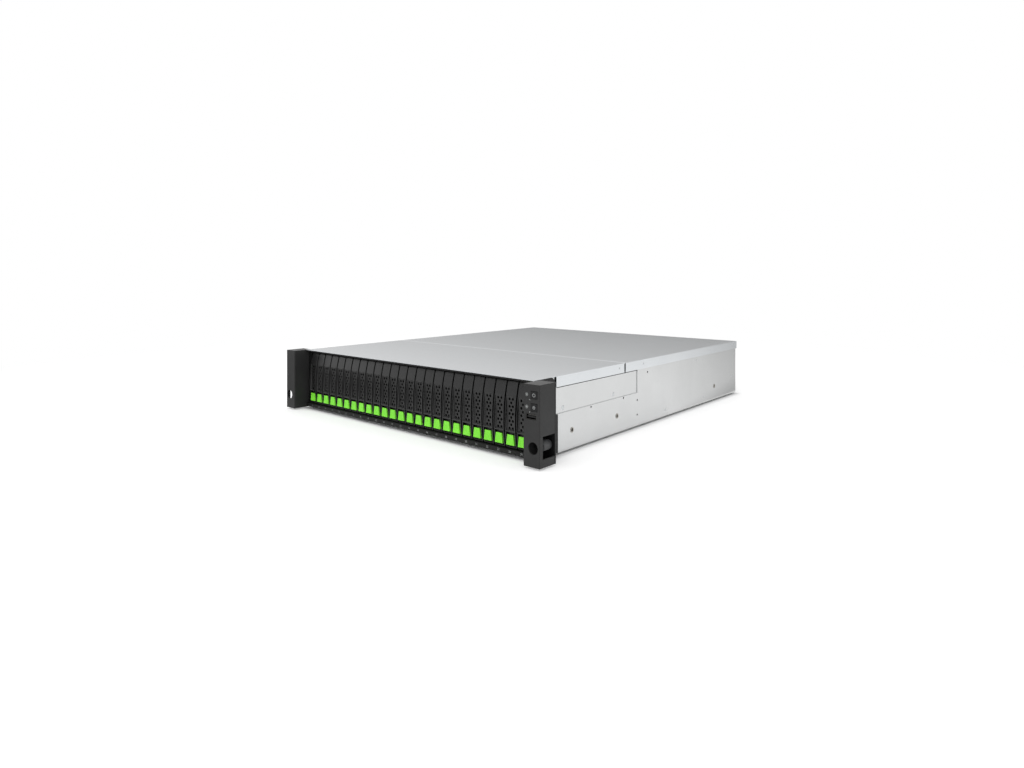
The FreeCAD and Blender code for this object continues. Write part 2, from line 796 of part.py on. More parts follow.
def tray_latch():
    """Green tab with a lip that stands in front of the lever's tongue."""
    latch = new_body("tray_latch")
    widest = f"({CHEEK_HALF} - latch_side_gap)"
    lip_top = "latch_top + latch_lip"
    lip_back = "-latch_reach + latch_lip_depth"
    back = "-well_back - lever_gap"
    profile = [
        ("-latch_reach", "latch_bottom"),
        ("-latch_reach", lip_top),
        (lip_back, lip_top),
        (lip_back, "latch_top"),
        (back, "latch_top"),
        (back, "latch_bottom"),
    ]
    pad(latch, "YZ_Plane", f"-{widest}", f"2 * {widest}", profile)
    taper = [
        (f"{widest} - latch_taper", lip_top),
        (f"2 * {widest}", lip_top),
        (f"2 * {widest}", "latch_bottom"),
        (widest, "latch_bottom"),
    ]
    side = cut_through(latch, "XZ_Plane", "-latch_reach", "latch_reach", taper)
    both_sides(latch, [side])
    return latch


def drive_trays():
    """Each tray in its place; the worked ones have their lever and latch as nodes of their own."""
    drive = tray_drive()
    latch = tray_latch()
    worked_carrier = tray_carrier("worked_carrier", True)
    worked_lever = tray_lever("worked_lever", True)
    whole = [tray_carrier("tray_carrier", False), drive, tray_lever("tray_lever", False), latch]
    trays = []
    for number in range(1, SIZES["bays"] + 1):
        label = f"tray_{number:02d}"
        place = f"({number} - (bays + 1) / 2) * bay_pitch"
        if number in WORKED_TRAYS:
            trays.append(group(label, [worked_carrier, drive], place))
            trays.append(group(f"{label}_lever", [worked_lever], place))
            trays.append(group(f"{label}_latch", [latch], place))
        else:
            trays.append(group(label, whole, place))
    return trays


# Rack ears

def rack_bracket():
    """Angle plate: a flange that bears on the rack, and a leg along the chassis wall."""
    bracket = new_body("right_rack_bracket")
    reach = "(bracket_reach + bracket_step)"
    angle = [
        (HALF, EAR_BACK),
        (EAR_OUTER, EAR_BACK),
        (EAR_OUTER, "rack_plane"),
        (f"{HALF} + bracket_leg", "rack_plane"),
        (f"{HALF} + bracket_leg", reach),
        (HALF, reach),
    ]
    pad(bracket, "XY_Plane", "ear_gap", "chassis_height - 2 * ear_gap", angle)
    upper = [
        ("bracket_reach", "step_top"),
        (f"{reach} + overcut", "step_top"),
        (f"{reach} + overcut", "chassis_height"),
        ("bracket_reach - bracket_corner", "chassis_height"),
        ("bracket_reach - bracket_corner", EAR_TOP),
        ("bracket_reach", f"{EAR_TOP} - bracket_corner"),
    ]
    lower = rect("bracket_reach", "-overcut", f"{reach} + overcut", "step_bottom")
    cut_through(bracket, "YZ_Plane", HALF, "bracket_leg", upper, lower)
    hole = disc(SCREW_X, "screw_height", "screw_radius + screw_gap")
    cut_through(bracket, "XZ_Plane", EAR_BACK, "bracket_sheet", hole)
    return bracket


def ear_cover(label):
    """Hollow housing, open at its back, with a screwdriver hole and a thumb window."""
    ear = new_body(label)
    shell = [
        (EAR_INNER, EAR_BACK),
        (EAR_INNER, "-ear_depth + ear_chamfer"),
        (f"{EAR_INNER} + ear_chamfer", "-ear_depth"),
        (f"{EAR_OUTER} - ear_chamfer", "-ear_depth"),
        (EAR_OUTER, "-ear_depth + ear_chamfer"),
        (EAR_OUTER, EAR_BACK),
    ]
    pad(ear, "XY_Plane", "ear_gap", "chassis_height - 2 * ear_gap", shell)
    hollow = rect(
        f"{EAR_INNER} + ear_wall", "ear_gap + ear_wall", f"{EAR_OUTER} - ear_wall", f"{EAR_TOP} - ear_wall"
    )
    pocket(ear, "XZ_Plane", "-ear_depth + ear_wall", "ear_depth", hollow)
    hole = disc(SCREW_X, "screw_height", "screw_hole")
    cut_through(ear, "XZ_Plane", "-ear_depth", "ear_wall", hole)
    window = rect("-window_front", "window_bottom", f"{EAR_BACK} + overcut", "window_top")
    cut_through(ear, "YZ_Plane", f"{EAR_OUTER} - ear_wall", "ear_wall", window)
    return ear


def ear_lights():
    """Place and width of each square light pipe in the right ear."""
    spots = []
    for height in ("power_height", "locate_height"):
        spots.append((f"({EAR_OUTER} - light_side)", f"({height} - light_drop)", "light_width"))
        spots.append((f"({EAR_OUTER} - icon_light_side)", height, "icon_light_width"))
    return spots


def right_ear_cover():
    """The ear that carries the controls."""
    ear = ear_cover("right_ear_cover")
    cuts = []
    spare = "2 * button_gap"
    for height in ("power_height", "locate_height"):
        cuts.append(middle_rect(BUTTON_X, height, f"(button_width + {spare})", f"(button_tall + {spare})"))
    cuts.append(middle_rect(USB_X, "usb_height", f"(usb_width + {spare})", f"(usb_tall + {spare})"))
    for across, up, width in ear_lights():
        hole = f"({width} + 2 * light_gap)"
        cuts.append(middle_rect(across, up, hole, hole))
    cut_through(ear, "XZ_Plane", "-ear_depth", "ear_wall", *cuts)
    return ear


def thumbscrew(label, sign):
    """Captive screw: a knob behind the ear's window, a thin neck in the flange and a thicker shank."""
    screw = new_body(label)
    back = f"({EAR_BACK} - screw_gap)"
    front = f"({back} - knob_length)"
    profile = [
        (front, "0"),
        (front, "knob_radius - knob_chamfer"),
        (f"{front} + knob_chamfer", "knob_radius"),
        (back, "knob_radius"),
        (back, "screw_neck"),
        ("rack_plane + neck_reach", "screw_neck"),
        ("rack_plane + neck_reach", "screw_radius"),
        ("rack_plane + screw_reach", "screw_radius"),
        ("rack_plane + screw_reach", "0"),
    ]
    revolve(screw, profile)
    bind(screw, "Placement.Base.x", f"{sign}{SCREW_X}")
    bind(screw, "Placement.Base.z", "screw_height")
    return screw


def push_button(label, height):
    """Cap through the ear's front wall, with a lip behind the wall."""
    button = new_body(label)
    face = middle_rect(BUTTON_X, height, "button_width", "button_tall")
    pad(button, "XZ_Plane", "-ear_depth - button_proud", "button_length + button_proud", face)
    lip_side = "2 * (button_gap + button_lip)"
    lip = middle_rect(BUTTON_X, height, f"(button_width + {lip_side})", f"(button_tall + {lip_side})")
    pad(button, "XZ_Plane", "-ear_depth + ear_wall + button_gap", "button_lip", lip)
    return button


def status_lights():
    """Light pipes that end flush with the ear's face."""
    lights = new_body("status_lights")
    for across, up, width in ear_lights():
        pad(lights, "XZ_Plane", "-ear_depth", "light_length", middle_rect(across, up, width, width))
    return lights


def usb_socket():
    """Metal shell, closed behind, with the contact tongue inside."""
    usb = new_body("usb_socket")
    front = "(-ear_depth + usb_set_back)"
    pad(usb, "XZ_Plane", front, "usb_length", middle_rect(USB_X, "usb_height", "usb_width", "usb_tall"))
    mouth = middle_rect(USB_X, "usb_height", "(usb_width - 2 * usb_shell)", "(usb_tall - 2 * usb_shell)")
    pocket(usb, "XZ_Plane", f"{front} - overcut", "usb_length + overcut - usb_shell", mouth)
    width = "(usb_width - 2 * (usb_shell + usb_tongue_side))"
    tongue = middle_rect(USB_X, "(usb_height + usb_tongue / 2)", width, "usb_tongue")
    pad(usb, "XZ_Plane", f"{front} + usb_tongue", "usb_length - usb_tongue", tongue)
    return usb


# Rear bays

def rear_bulkhead():
    """Two dividers and the shelf between the controllers."""
    bulkhead = new_body("rear_bulkhead")
    inner = "(controller_bay / 2)"
    outer = f"({inner} + divider)"
    top = f"({WALL_TOP} - module_gap)"
    under = f"(pan_sheet + {BAY_HEIGHT})"
    over = f"({under} + shelf)"
    section = [
        (f"-{outer}", "pan_sheet"),
        (f"-{inner}", "pan_sheet"),
        (f"-{inner}", under),
        (inner, under),
        (inner, "pan_sheet"),
        (outer, "pan_sheet"),
        (outer, top),
        (inner, top),
        (inner, over),
        (f"-{inner}", over),
        (f"-{inner}", top),
        (f"-{outer}", top),
    ]
    pad(bulkhead, "XZ_Plane", MODULE_FRONT, MODULE_LENGTH, section)
    return bulkhead


def controller_case():
    """Canister: a sleeve open towards the midplane, and a rear plate with vents."""
    case = new_body("controller_case")
    outside = rect(f"-{CONTROLLER_HALF}", "0", CONTROLLER_HALF, CONTROLLER_HEIGHT)
    inner = f"({CONTROLLER_HALF} - case_sheet)"
    inside = rect(f"-{inner}", "case_sheet", inner, f"{CONTROLLER_HEIGHT} - case_sheet")
    pad(case, "XZ_Plane", MODULE_FRONT, f"{MODULE_LENGTH} - port_plate", outside, inside)
    pad(case, "XZ_Plane", "rear_reach - port_plate", "port_plate", outside)
    cut_through(case, "XZ_Plane", "rear_reach - port_plate", "port_plate", PORT_BLOCK)
    slot = rect(PORTS_LEFT, "slot_bottom", f"{PORTS_LEFT} + slot_width", "slot_top")
    vent = cut_through(case, "XZ_Plane", "rear_reach - port_plate", "port_plate", slot)
    row_of(case, [vent], "X_Axis", "slot_pitch * (slots - 1)", "slots")
    middle = f"({CONTROLLER_HEIGHT} / 2)"
    low = f"({middle} - cam_tall / 2 - module_gap - cam_lug)"
    high = f"({middle} + cam_tall / 2 + module_gap)"
    foot = rect(
        f"{CAM_PIVOT_X} - cam_lug_width / 2",
        "rear_reach",
        f"{CAM_PIVOT_X} + cam_lug_width / 2",
        f"{CAM_PIVOT_Y} + cam_lug_width / 2",
    )
    for bottom in (low, high):
        pad(case, "XY_Plane", bottom, "cam_lug", foot)
    pin_hole = disc(CAM_PIVOT_X, CAM_PIVOT_Y, "cam_pin + cam_pin_gap")
    cut_through(case, "XY_Plane", low, f"{high} + cam_lug - {low}", pin_hole)
    return case


def controller_ports():
    """Connector block that fills the opening in the rear plate."""
    block = new_body("controller_ports")
    depth = "(port_depth + port_wall)"
    pad(block, "XZ_Plane", f"rear_reach - {depth}", depth, PORT_BLOCK)
    floor = "rear_reach - port_depth"
    mouth = "port_depth + overcut"
    data_top = "port_bottom + data_port_height"
    data = rect(PORTS_LEFT, "port_bottom", f"{PORTS_LEFT} + data_port_width", data_top)
    cages = pocket(block, "XZ_Plane", floor, mouth, data)
    row_of(block, [cages], "X_Axis", "data_port_pitch * (data_ports - 1)", "data_ports")
    net = rect(NET_LEFT, "port_bottom", f"{NET_LEFT} + net_port_width", "port_bottom + net_port_height")
    jacks = pocket(block, "XZ_Plane", floor, mouth, net)
    row_of(block, [jacks], "X_Axis", "net_port_pitch * (net_ports - 1)", "net_ports")
    return block


def controller_board():
    """Circuit board that reaches forward to the midplane."""
    board = new_body("controller_board")
    half = f"({CONTROLLER_HALF} - case_sheet - board_inset)"
    front = f"({BOARD_REAR} + module_gap)"
    foot = rect(f"-{half}", front, half, "rear_reach - port_plate")
    pad(board, "XY_Plane", "controller_board_height", "controller_board", foot)
    return board


def cam_lever():
    """Bar that folds flat against the rear plate and swings out about an upright pin."""
    cam = new_body("cam_lever")
    low = f"({CONTROLLER_HEIGHT} / 2 - cam_tall / 2)"
    near = f"({CAM_PIVOT_Y} - cam_thickness / 2)"
    far = f"({CAM_PIVOT_Y} + cam_thickness / 2)"
    tip = f"({CAM_PIVOT_X} - cam_length)"
    end = f"({CAM_PIVOT_X} + cam_thickness / 2)"
    bar = [
        (end, f"{CAM_PIVOT_Y} - cam_thickness / 4"),
        (end, f"{CAM_PIVOT_Y} + cam_thickness / 4"),
        (CAM_PIVOT_X, far),
        (f"{tip} + cam_tip", far),
        (tip, f"{far} + cam_bend"),
        (tip, f"{near} + cam_bend"),
        (f"{tip} + cam_tip", near),
        (CAM_PIVOT_X, near),
    ]
    pad(cam, "XY_Plane", low, "cam_tall", bar)
    reach = "(module_gap + cam_lug)"
    pin = disc(CAM_PIVOT_X, CAM_PIVOT_Y, "cam_pin")
    pad(cam, "XY_Plane", f"{low} - {reach}", f"cam_tall + 2 * {reach}", pin)
    return cam


def supply_case():
    """Module case with a slotted fan grille, an inlet opening and the handle's lugs."""
    case = new_body("supply_case")
    outside = rect("0", "0", SUPPLY_WIDTH, SUPPLY_HEIGHT)
    inside = rect(
        "case_sheet", "case_sheet", f"{SUPPLY_WIDTH} - case_sheet", f"{SUPPLY_HEIGHT} - case_sheet"
    )
    pad(case, "XZ_Plane", MODULE_FRONT, f"{MODULE_LENGTH} - rear_plate", outside, inside)
    pad(case, "XZ_Plane", "rear_reach - rear_plate", "rear_plate", outside)
    pad(case, "XZ_Plane", MODULE_FRONT, "case_sheet", outside)
    tab = middle_rect(f"{SUPPLY_WIDTH} / 2", "plug_tab_height", "plug_tab_width", "plug_tab_tall")
    pad(case, "XZ_Plane", f"{BOARD_REAR} + module_gap", "module_front_gap - module_gap", tab)
    slots = []
    for number in range(-SIZES["grille_slots"], SIZES["grille_slots"] + 1):
        shift = f"{number} * grille_pitch"
        half = f"sqrt(fan_bore * fan_bore - ({shift}) * ({shift}))"
        slots.append(middle_rect(f"({FAN_X} + {shift})", FAN_Z, "grille_slot", f"(2 * {half})"))
    cut_through(case, "XZ_Plane", FAN_REAR, "rear_plate", *slots)
    inlet = middle_rect(INLET_X, INLET_Z, "inlet_width", "inlet_tall")
    cut_through(case, "XZ_Plane", FAN_REAR, "rear_plate", inlet)
    side = "(bail_width / 2 + module_gap)"
    foot = middle_rect(BAIL_PIVOT_Y, "bail_pivot_height", "bail_lug_side", "bail_lug_side")
    foot = [("rear_reach", foot[0][1]), foot[1], foot[2], ("rear_reach", foot[3][1])]
    for start in (f"{INLET_X} - {side} - bail_lug", f"{INLET_X} + {side}"):
        pad(case, "YZ_Plane", start, "bail_lug", foot)
    pin_hole = disc(BAIL_PIVOT_Y, "bail_pivot_height", "bail_pin + bail_pin_gap")
    cut_through(case, "YZ_Plane", f"{INLET_X} - {side} - bail_lug", f"2 * ({side} + bail_lug)", pin_hole)
    return case


def supply_inlet():
    """Three-blade mains inlet."""
    inlet = new_body("supply_inlet")
    front = "(rear_reach - inlet_depth)"
    pad(inlet, "XZ_Plane", front, "inlet_depth", middle_rect(INLET_X, INLET_Z, "inlet_width", "inlet_tall"))
    mouth = middle_rect(INLET_X, INLET_Z, "(inlet_width - 2 * inlet_wall)", "(inlet_tall - 2 * inlet_wall)")
    floor = "(rear_reach - inlet_cavity)"
    pocket(inlet, "XZ_Plane", floor, "inlet_cavity + overcut", mouth)
    size = ("inlet_blade_width", "inlet_blade_tall")
    low = f"({INLET_Z} - inlet_blade_shift)"
    blades = [
        middle_rect(f"({INLET_X} - inlet_blade_space)", low, *size),
        middle_rect(INLET_X, f"({INLET_Z} + inlet_blade_shift)", *size),
        middle_rect(f"({INLET_X} + inlet_blade_space)", low, *size),
    ]
    pad(inlet, "XZ_Plane", floor, "inlet_blade_length", *blades)
    return inlet


def fan_frame():
    """Square frame with a round bore, four struts, a hub plate and the shaft."""
    frame = new_body("fan_frame")
    square = middle_rect("0", "0", "fan_side", "fan_side")
    pad(frame, "XZ_Plane", "-fan_depth", "fan_depth", square, disc("0", "0", "fan_bore"))
    span = "(2 * fan_bore + overcut)"
    struts = [middle_rect("0", "0", span, "fan_strut"), middle_rect("0", "0", "fan_strut", span)]
    hub = middle_rect("0", "0", "(fan_hub * sqrt(2))", "(fan_hub * sqrt(2))")
    for shape in struts + [hub]:
        pad(frame, "XZ_Plane", "-fan_strut_depth", "fan_strut_depth", shape)
    shaft = "fan_depth - fan_strut_depth - fan_running_gap"
    pad(frame, "XZ_Plane", f"-fan_strut_depth - ({shaft})", shaft, disc("0", "0", "fan_shaft"))
    bind(frame, "Placement.Base.x", FAN_X)
    bind(frame, "Placement.Base.y", FAN_REAR)
    bind(frame, "Placement.Base.z", FAN_Z)
    return frame


def fan_rotor():
    """Hub with pitched blades, bored for the shaft."""
    rotor = new_body("fan_rotor")
    back = "(-fan_strut_depth - fan_running_gap)"
    length = "(fan_depth - fan_strut_depth - 2 * fan_running_gap)"
    pad(rotor, "XZ_Plane", f"{back} - {length}", length, disc("0", "0", "fan_hub"))
    start = f"({back} - ({length} + blade_chord) / 2)"
    end = f"({start} + blade_chord)"
    blade = [
        (start, "-(blade_rise + blade_thickness) / 2"),
        (end, "(blade_rise - blade_thickness) / 2"),
        (end, "(blade_rise + blade_thickness) / 2"),
        (start, "-(blade_rise - blade_thickness) / 2"),
    ]
    root = "(fan_hub / 2)"
    wing = pad(rotor, "YZ_Plane", root, f"fan_tip - {root}", blade)
    ring_of(rotor, [wing], "Y_Axis", "fan_blades")
    bore = disc("0", "0", "fan_shaft + fan_shaft_gap")
    cut_through(rotor, "XZ_Plane", f"{back} - {length}", length, bore)
    bind(rotor, "Placement.Base.x", FAN_X)
    bind(rotor, "Placement.Base.y", FAN_REAR)
    bind(rotor, "Placement.Base.z", FAN_Z)
    return rotor


def bail_handle():
    """U-shaped bail that hangs against the rear plate and swings out about a level pin at its top."""
    bail = new_body("bail_handle")
    left = f"({INLET_X} - bail_width / 2)"
    right = f"({INLET_X} + bail_width / 2)"
    top = "(bail_pivot_height + bail_bar / 2)"
    low = "(bail_pivot_height - bail_length)"
    bow = [
        (left, top),
        (left, f"{low} + bail_bar"),
        (f"{left} + bail_bar", low),
        (f"{right} - bail_bar", low),
        (right, f"{low} + bail_bar"),
        (right, top),
        (f"{right} - bail_bar", top),
        (f"{right} - bail_bar", f"{low} + bail_bar"),
        (f"{left} + bail_bar", f"{low} + bail_bar"),
        (f"{left} + bail_bar", top),
    ]
    pad(bail, "XZ_Plane", f"{BAIL_PIVOT_Y} - bail_bar / 2", "bail_bar", bow)
    reach = "(module_gap + bail_lug)"
    pin = disc(BAIL_PIVOT_Y, "bail_pivot_height", "bail_pin")
    pad(bail, "YZ_Plane", f"{left} - {reach}", f"{reach} + bail_bar / 2", pin)
    pad(bail, "YZ_Plane", f"{right} - bail_bar / 2", f"{reach} + bail_bar / 2", pin)
    return bail


def controllers():
    pieces = [controller_case(), controller_board(), controller_ports()]
    cam = cam_lever()
    nodes = []
    low = "pan_sheet + module_gap"
    for name, height in (("controller_a", f"{low} + {BAY_HEIGHT} + shelf"), ("controller_b", low)):
        nodes.append(group(name, pieces, z=height))
        nodes.append(group(f"{name}_lever", [cam], z=height))
    return nodes


def power_supplies():
    pieces = [supply_case(), supply_inlet(), fan_frame()]
    rotor = fan_rotor()
    bail = bail_handle()
    nodes = []
    height = "pan_sheet + module_gap"
    for name, across in (("power_supply_a", SUPPLY_INNER), ("power_supply_b", f"-{SUPPLY_OUTER}")):
        nodes.append(group(name, pieces, x=across, z=height))
        nodes.append(group(f"{name}_handle", [bail], x=across, z=height))
        nodes.append(group(f"{name}_fan", [rotor], x=across, z=height))
    return nodes


def build():
    bracket = rack_bracket()
    flange_front = "bracket_reach + bracket_lid_gap"
    seam = "seam_gap / 2"
    slot = "flange_slot / 2"
    lid_rear = "rear_reach + lid_overhang"
    nodes = [
        base_pan(),
        lid("front_lid", "-front_reach", f"lid_seam - {seam}", flange_front, f"lid_seam - {slot}"),
        lid("rear_lid", f"lid_seam + {seam}", lid_rear, f"lid_seam + {slot}", lid_rear),
        front_frame(),
        bay_guides(),
        midplane_board(),
        drive_sockets(),
        bracket,
        mirrored("left_rack_bracket", bracket),
        right_ear_cover(),
        mirrored("left_ear_cover", ear_cover("plain_ear_cover")),
        thumbscrew("right_thumbscrew", ""),
        thumbscrew("left_thumbscrew", "-"),
        push_button("power_button", "power_height"),
        push_button("locate_button", "locate_height"),
        status_lights(),
        usb_socket(),
        rear_bulkhead(),
    ]
    return nodes + drive_trays() + controllers() + power_supplies()


def write(nodes):
    doc.recompute()
    for thing in doc.Objects:
        if "Invalid" in thing.State or "Error" in thing.State:
            raise RuntimeError(f"{thing.Label} did not build")
    for node in nodes:
        if node.Shape.isNull() or not node.Shape.isValid():
            raise RuntimeError(f"{node.Label} has no sound shape")
    os.makedirs("parts", exist_ok=True)
    for node in nodes:
        node.Shape.exportStep(f"parts/{node.Label}.step")
    print(len(nodes), "nodes written")


write(build())
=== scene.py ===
# %% [markdown]
# # A two-unit storage array
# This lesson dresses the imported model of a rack-mounted storage array: a chassis of galvanised sheet,
# twenty-five narrow drive trays with perforated levers and green latches, two rack ears, and the
# controllers and power supplies at the rear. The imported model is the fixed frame. Each step makes the
# shown form of one piece, gives it the finish of the real material, and hangs it on the body it moves with.
# Lengths are written in millimetres and become metres through `MM`.

# %% Load the frame
import json
import math
import bmesh
import bpy
from mathutils import Matrix, Vector

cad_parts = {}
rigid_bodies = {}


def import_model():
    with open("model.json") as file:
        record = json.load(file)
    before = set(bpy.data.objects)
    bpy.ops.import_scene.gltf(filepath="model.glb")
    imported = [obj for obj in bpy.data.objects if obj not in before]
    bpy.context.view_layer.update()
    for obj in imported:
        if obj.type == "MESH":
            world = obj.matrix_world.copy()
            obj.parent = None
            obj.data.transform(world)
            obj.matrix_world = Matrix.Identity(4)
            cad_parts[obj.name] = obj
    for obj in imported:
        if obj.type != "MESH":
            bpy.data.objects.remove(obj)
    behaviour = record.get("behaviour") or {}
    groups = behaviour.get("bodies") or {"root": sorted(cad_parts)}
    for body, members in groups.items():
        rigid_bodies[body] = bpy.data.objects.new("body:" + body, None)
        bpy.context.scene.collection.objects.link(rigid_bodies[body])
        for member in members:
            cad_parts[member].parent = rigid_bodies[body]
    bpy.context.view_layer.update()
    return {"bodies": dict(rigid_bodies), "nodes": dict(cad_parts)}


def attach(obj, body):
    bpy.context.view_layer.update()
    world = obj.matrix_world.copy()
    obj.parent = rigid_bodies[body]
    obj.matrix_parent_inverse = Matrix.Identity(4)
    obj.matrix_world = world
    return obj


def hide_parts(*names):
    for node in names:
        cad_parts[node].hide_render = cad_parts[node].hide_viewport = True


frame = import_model()
MM = 0.001
scene = bpy.context.scene

# %% [markdown]
# ## Camera
# The photograph looks at the front right corner from a little above the lid, with upright lines kept
# upright. A level camera with a shifted sensor gives that: tilting it would make the ears lean. The place,
# the turn and the focal length were worked out from the rack holes and the lid edges in the photograph.

# %% Camera
IMAGE_WIDTH, IMAGE_HEIGHT = 1024, 768
FOCAL_PIXELS = 655.93
OPTICAL_AXIS = (480.06, 274.565)
camera = bpy.data.objects.new("camera", bpy.data.cameras.new("camera"))
scene.collection.objects.link(camera)
camera.location = (0.6519, -0.57196, 0.20265)
camera.rotation_euler = (math.radians(90), 0, math.radians(42.17))
camera.data.sensor_width = 36.0
camera.data.lens = camera.data.sensor_width * FOCAL_PIXELS / IMAGE_WIDTH
camera.data.shift_x = (IMAGE_WIDTH / 2 - OPTICAL_AXIS[0]) / IMAGE_WIDTH
camera.data.shift_y = (OPTICAL_AXIS[1] - IMAGE_HEIGHT / 2) / IMAGE_WIDTH
camera.data.clip_start = 0.01
scene.camera = camera
print("camera: %.2f mm lens" % camera.data.lens)

# %% [markdown]
# ## Colours and nodes
# Three helpers serve every material. Hex values are how a screen shows a colour, and shaders work in linear
# light, so one function turns one into the other. Another adds a node to a tree, sets its properties, and
# sets or links its inputs, so that a material reads as a list of what it is made of. The third starts one.

# %% Colour and node helpers
def linear(hex_colour):
    """The linear colour of an sRGB hex value."""
    shares = [int(hex_colour[k:k + 2], 16) / 255 for k in (1, 3, 5)]
    return (*[s / 12.92 if s <= 0.04045 else ((s + 0.055) / 1.055) ** 2.4 for s in shares], 1.0)


def add(tree, kind, inputs=None, **settings):
    """Add a node, set its properties, and set or link its inputs by name or number."""
    made = tree.nodes.new(kind)
    for name, value in settings.items():
        setattr(made, name, value)
    for key, value in (inputs or {}).items():
        for given in value if isinstance(value, list) else [value]:
            if isinstance(given, bpy.types.NodeSocket):
                tree.links.new(given, made.inputs[key])
            else:
                made.inputs[key].default_value = given
    return made


def new_material(name):
    """An empty material with a principled shader on its output."""
    material = bpy.data.materials.new(name)
    material.use_nodes = True
    material.node_tree.nodes.clear()
    shader = add(material.node_tree, "ShaderNodeBsdfPrincipled")
    add(material.node_tree, "ShaderNodeOutputMaterial", {"Surface": shader.outputs[0]})
    return material, material.node_tree, shader


print("mid grey in linear light: %.3f" % linear("#808080")[0])

# %% [markdown]
# ## Studio
# The picture has a white ground with a faint shadow under the chassis. The sky is plain white to the camera
# and to mirrors and softer to everything else, so the ground looks white without over-lighting the metal.
# The floor adds its own white for the camera and still takes the shadow; away from the object it turns to
# plain white, so that no horizon shows, and close to the pan it gives up its own white, which paints a dark
# contact shadow along the pan's foot. Three soft lamps light the front, the left ends of the levers and, from
# low down, the upright faces. Grey cards stand where only reflections see them, as photographers do with bare
# metal and black plastic: one behind the object shades the lid towards its rear, one on the floor shades the
# rear of the side, a soft one on the floor in front shades the pierced panels on the left, and two soft ones
# low in front darken the heads of the levers on the right and brighten those on the left.

# %% White sky
def seen_directly(tree):
    """1 for rays from the camera, from mirrors and through glass, 0 for the rest."""
    path = add(tree, "ShaderNodeLightPath").outputs
    straight = add(tree, "ShaderNodeMath", {0: path["Is Camera Ray"], 1: path["Is Glossy Ray"]},
                   operation="MAXIMUM")
    return add(tree, "ShaderNodeMath", {0: straight.outputs[0], 1: path["Is Transmission Ray"]},
               operation="MAXIMUM").outputs[0]


world = bpy.data.worlds.new("studio_sky")
world.use_nodes = True
sky = world.node_tree
sky.nodes.clear()
soft = add(sky, "ShaderNodeBackground", {"Color": linear("#FFFFFF"), "Strength": 0.85})
white = add(sky, "ShaderNodeBackground", {"Color": linear("#FFFFFF"), "Strength": 1.0})
sky_mix = add(sky, "ShaderNodeMixShader", {0: seen_directly(sky), 1: soft.outputs[0], 2: white.outputs[0]})
add(sky, "ShaderNodeOutputWorld", {"Surface": sky_mix.outputs[0]})
scene.world = world
print("sky:", len(sky.nodes), "nodes")

# %% White floor
CHASSIS_MIDDLE, FOOTPRINT = (0, -0.28, 0), (0.219, 0.283, 0.0)
FADE_START, FADE_END = 0.5, 1.2
# Within this reach of the footprint the floor loses its own white: a painted contact shadow
PAINTED_SHADOW_REACH = 0.012
PAPER, OWN_WHITE = linear("#EEEEEE"), 0.33
paper, tree, shader = new_material("white_studio_paper")
shader.inputs["Roughness"].default_value = 1.0
shader.inputs["Specular IOR Level"].default_value = 0.0
seen = seen_directly(tree)
place = add(tree, "ShaderNodeTexCoord").outputs["Object"]
middle = add(tree, "ShaderNodeMapping", {"Vector": place, "Location": CHASSIS_MIDDLE}).outputs[0]
away = add(tree, "ShaderNodeVectorMath", {0: middle}, operation="LENGTH").outputs["Value"]
far = add(tree, "ShaderNodeMapRange", {"Value": away, "From Min": FADE_START, "From Max": FADE_END},
          interpolation_type="SMOOTHSTEP").outputs[0]
near_tone = add(tree, "ShaderNodeMix", {0: far, 6: PAPER, 7: linear("#000000")}, data_type="RGBA").outputs[2]
tone = add(tree, "ShaderNodeMix", {0: seen, 6: PAPER, 7: near_tone}, data_type="RGBA").outputs[2]
tree.links.new(tone, shader.inputs["Base Color"])
# How far a point lies outside the footprint says how much of its own white it keeps, which paints a contact
# shadow
past = middle
for step, other in (("ABSOLUTE", (0, 0, 0)), ("SUBTRACT", FOOTPRINT), ("MAXIMUM", (0, 0, 0))):
    past = add(tree, "ShaderNodeVectorMath", {0: past, 1: other}, operation=step).outputs[0]
gap = add(tree, "ShaderNodeVectorMath", {0: past}, operation="LENGTH").outputs["Value"]
clear = add(tree, "ShaderNodeMapRange", {"Value": gap, "From Max": PAINTED_SHADOW_REACH},
            interpolation_type="SMOOTHSTEP").outputs[0]
white_share = add(tree, "ShaderNodeMapRange", {"Value": far, "To Min": OWN_WHITE}).outputs[0]
glow = seen
for share in (clear, white_share):
    glow = add(tree, "ShaderNodeMath", {0: glow, 1: share}, operation="MULTIPLY").outputs[0]
tree.links.new(glow, shader.inputs["Emission Strength"])
shader.inputs["Emission Color"].default_value = (1, 1, 1, 1)

floor = bpy.data.objects.new("floor", bpy.data.meshes.new("floor"))
floor.data.from_pydata([(-6, -6, 0), (6, -6, 0), (6, 6, 0), (-6, 6, 0)], [], [(0, 1, 2, 3)])
floor.data.materials.append(paper)
floor.location.z = -2.0 * MM
scene.collection.objects.link(floor)
print("floor:", len(tree.nodes), "nodes in", paper.name)

# %% Cards that only reflections see
def hump(tree, share):
    """A share from 0 to 1 as a hump: 0 at both ends and 1 in the middle."""
    rise = add(tree, "ShaderNodeMath", {0: 4.0, 1: share}, operation="MULTIPLY").outputs[0]
    fall = add(tree, "ShaderNodeMath", {0: 1.0, 1: share}, operation="SUBTRACT").outputs[0]
    return add(tree, "ShaderNodeMath", {0: rise, 1: fall}, operation="MULTIPLY").outputs[0]


FULL_COVER = 0.6


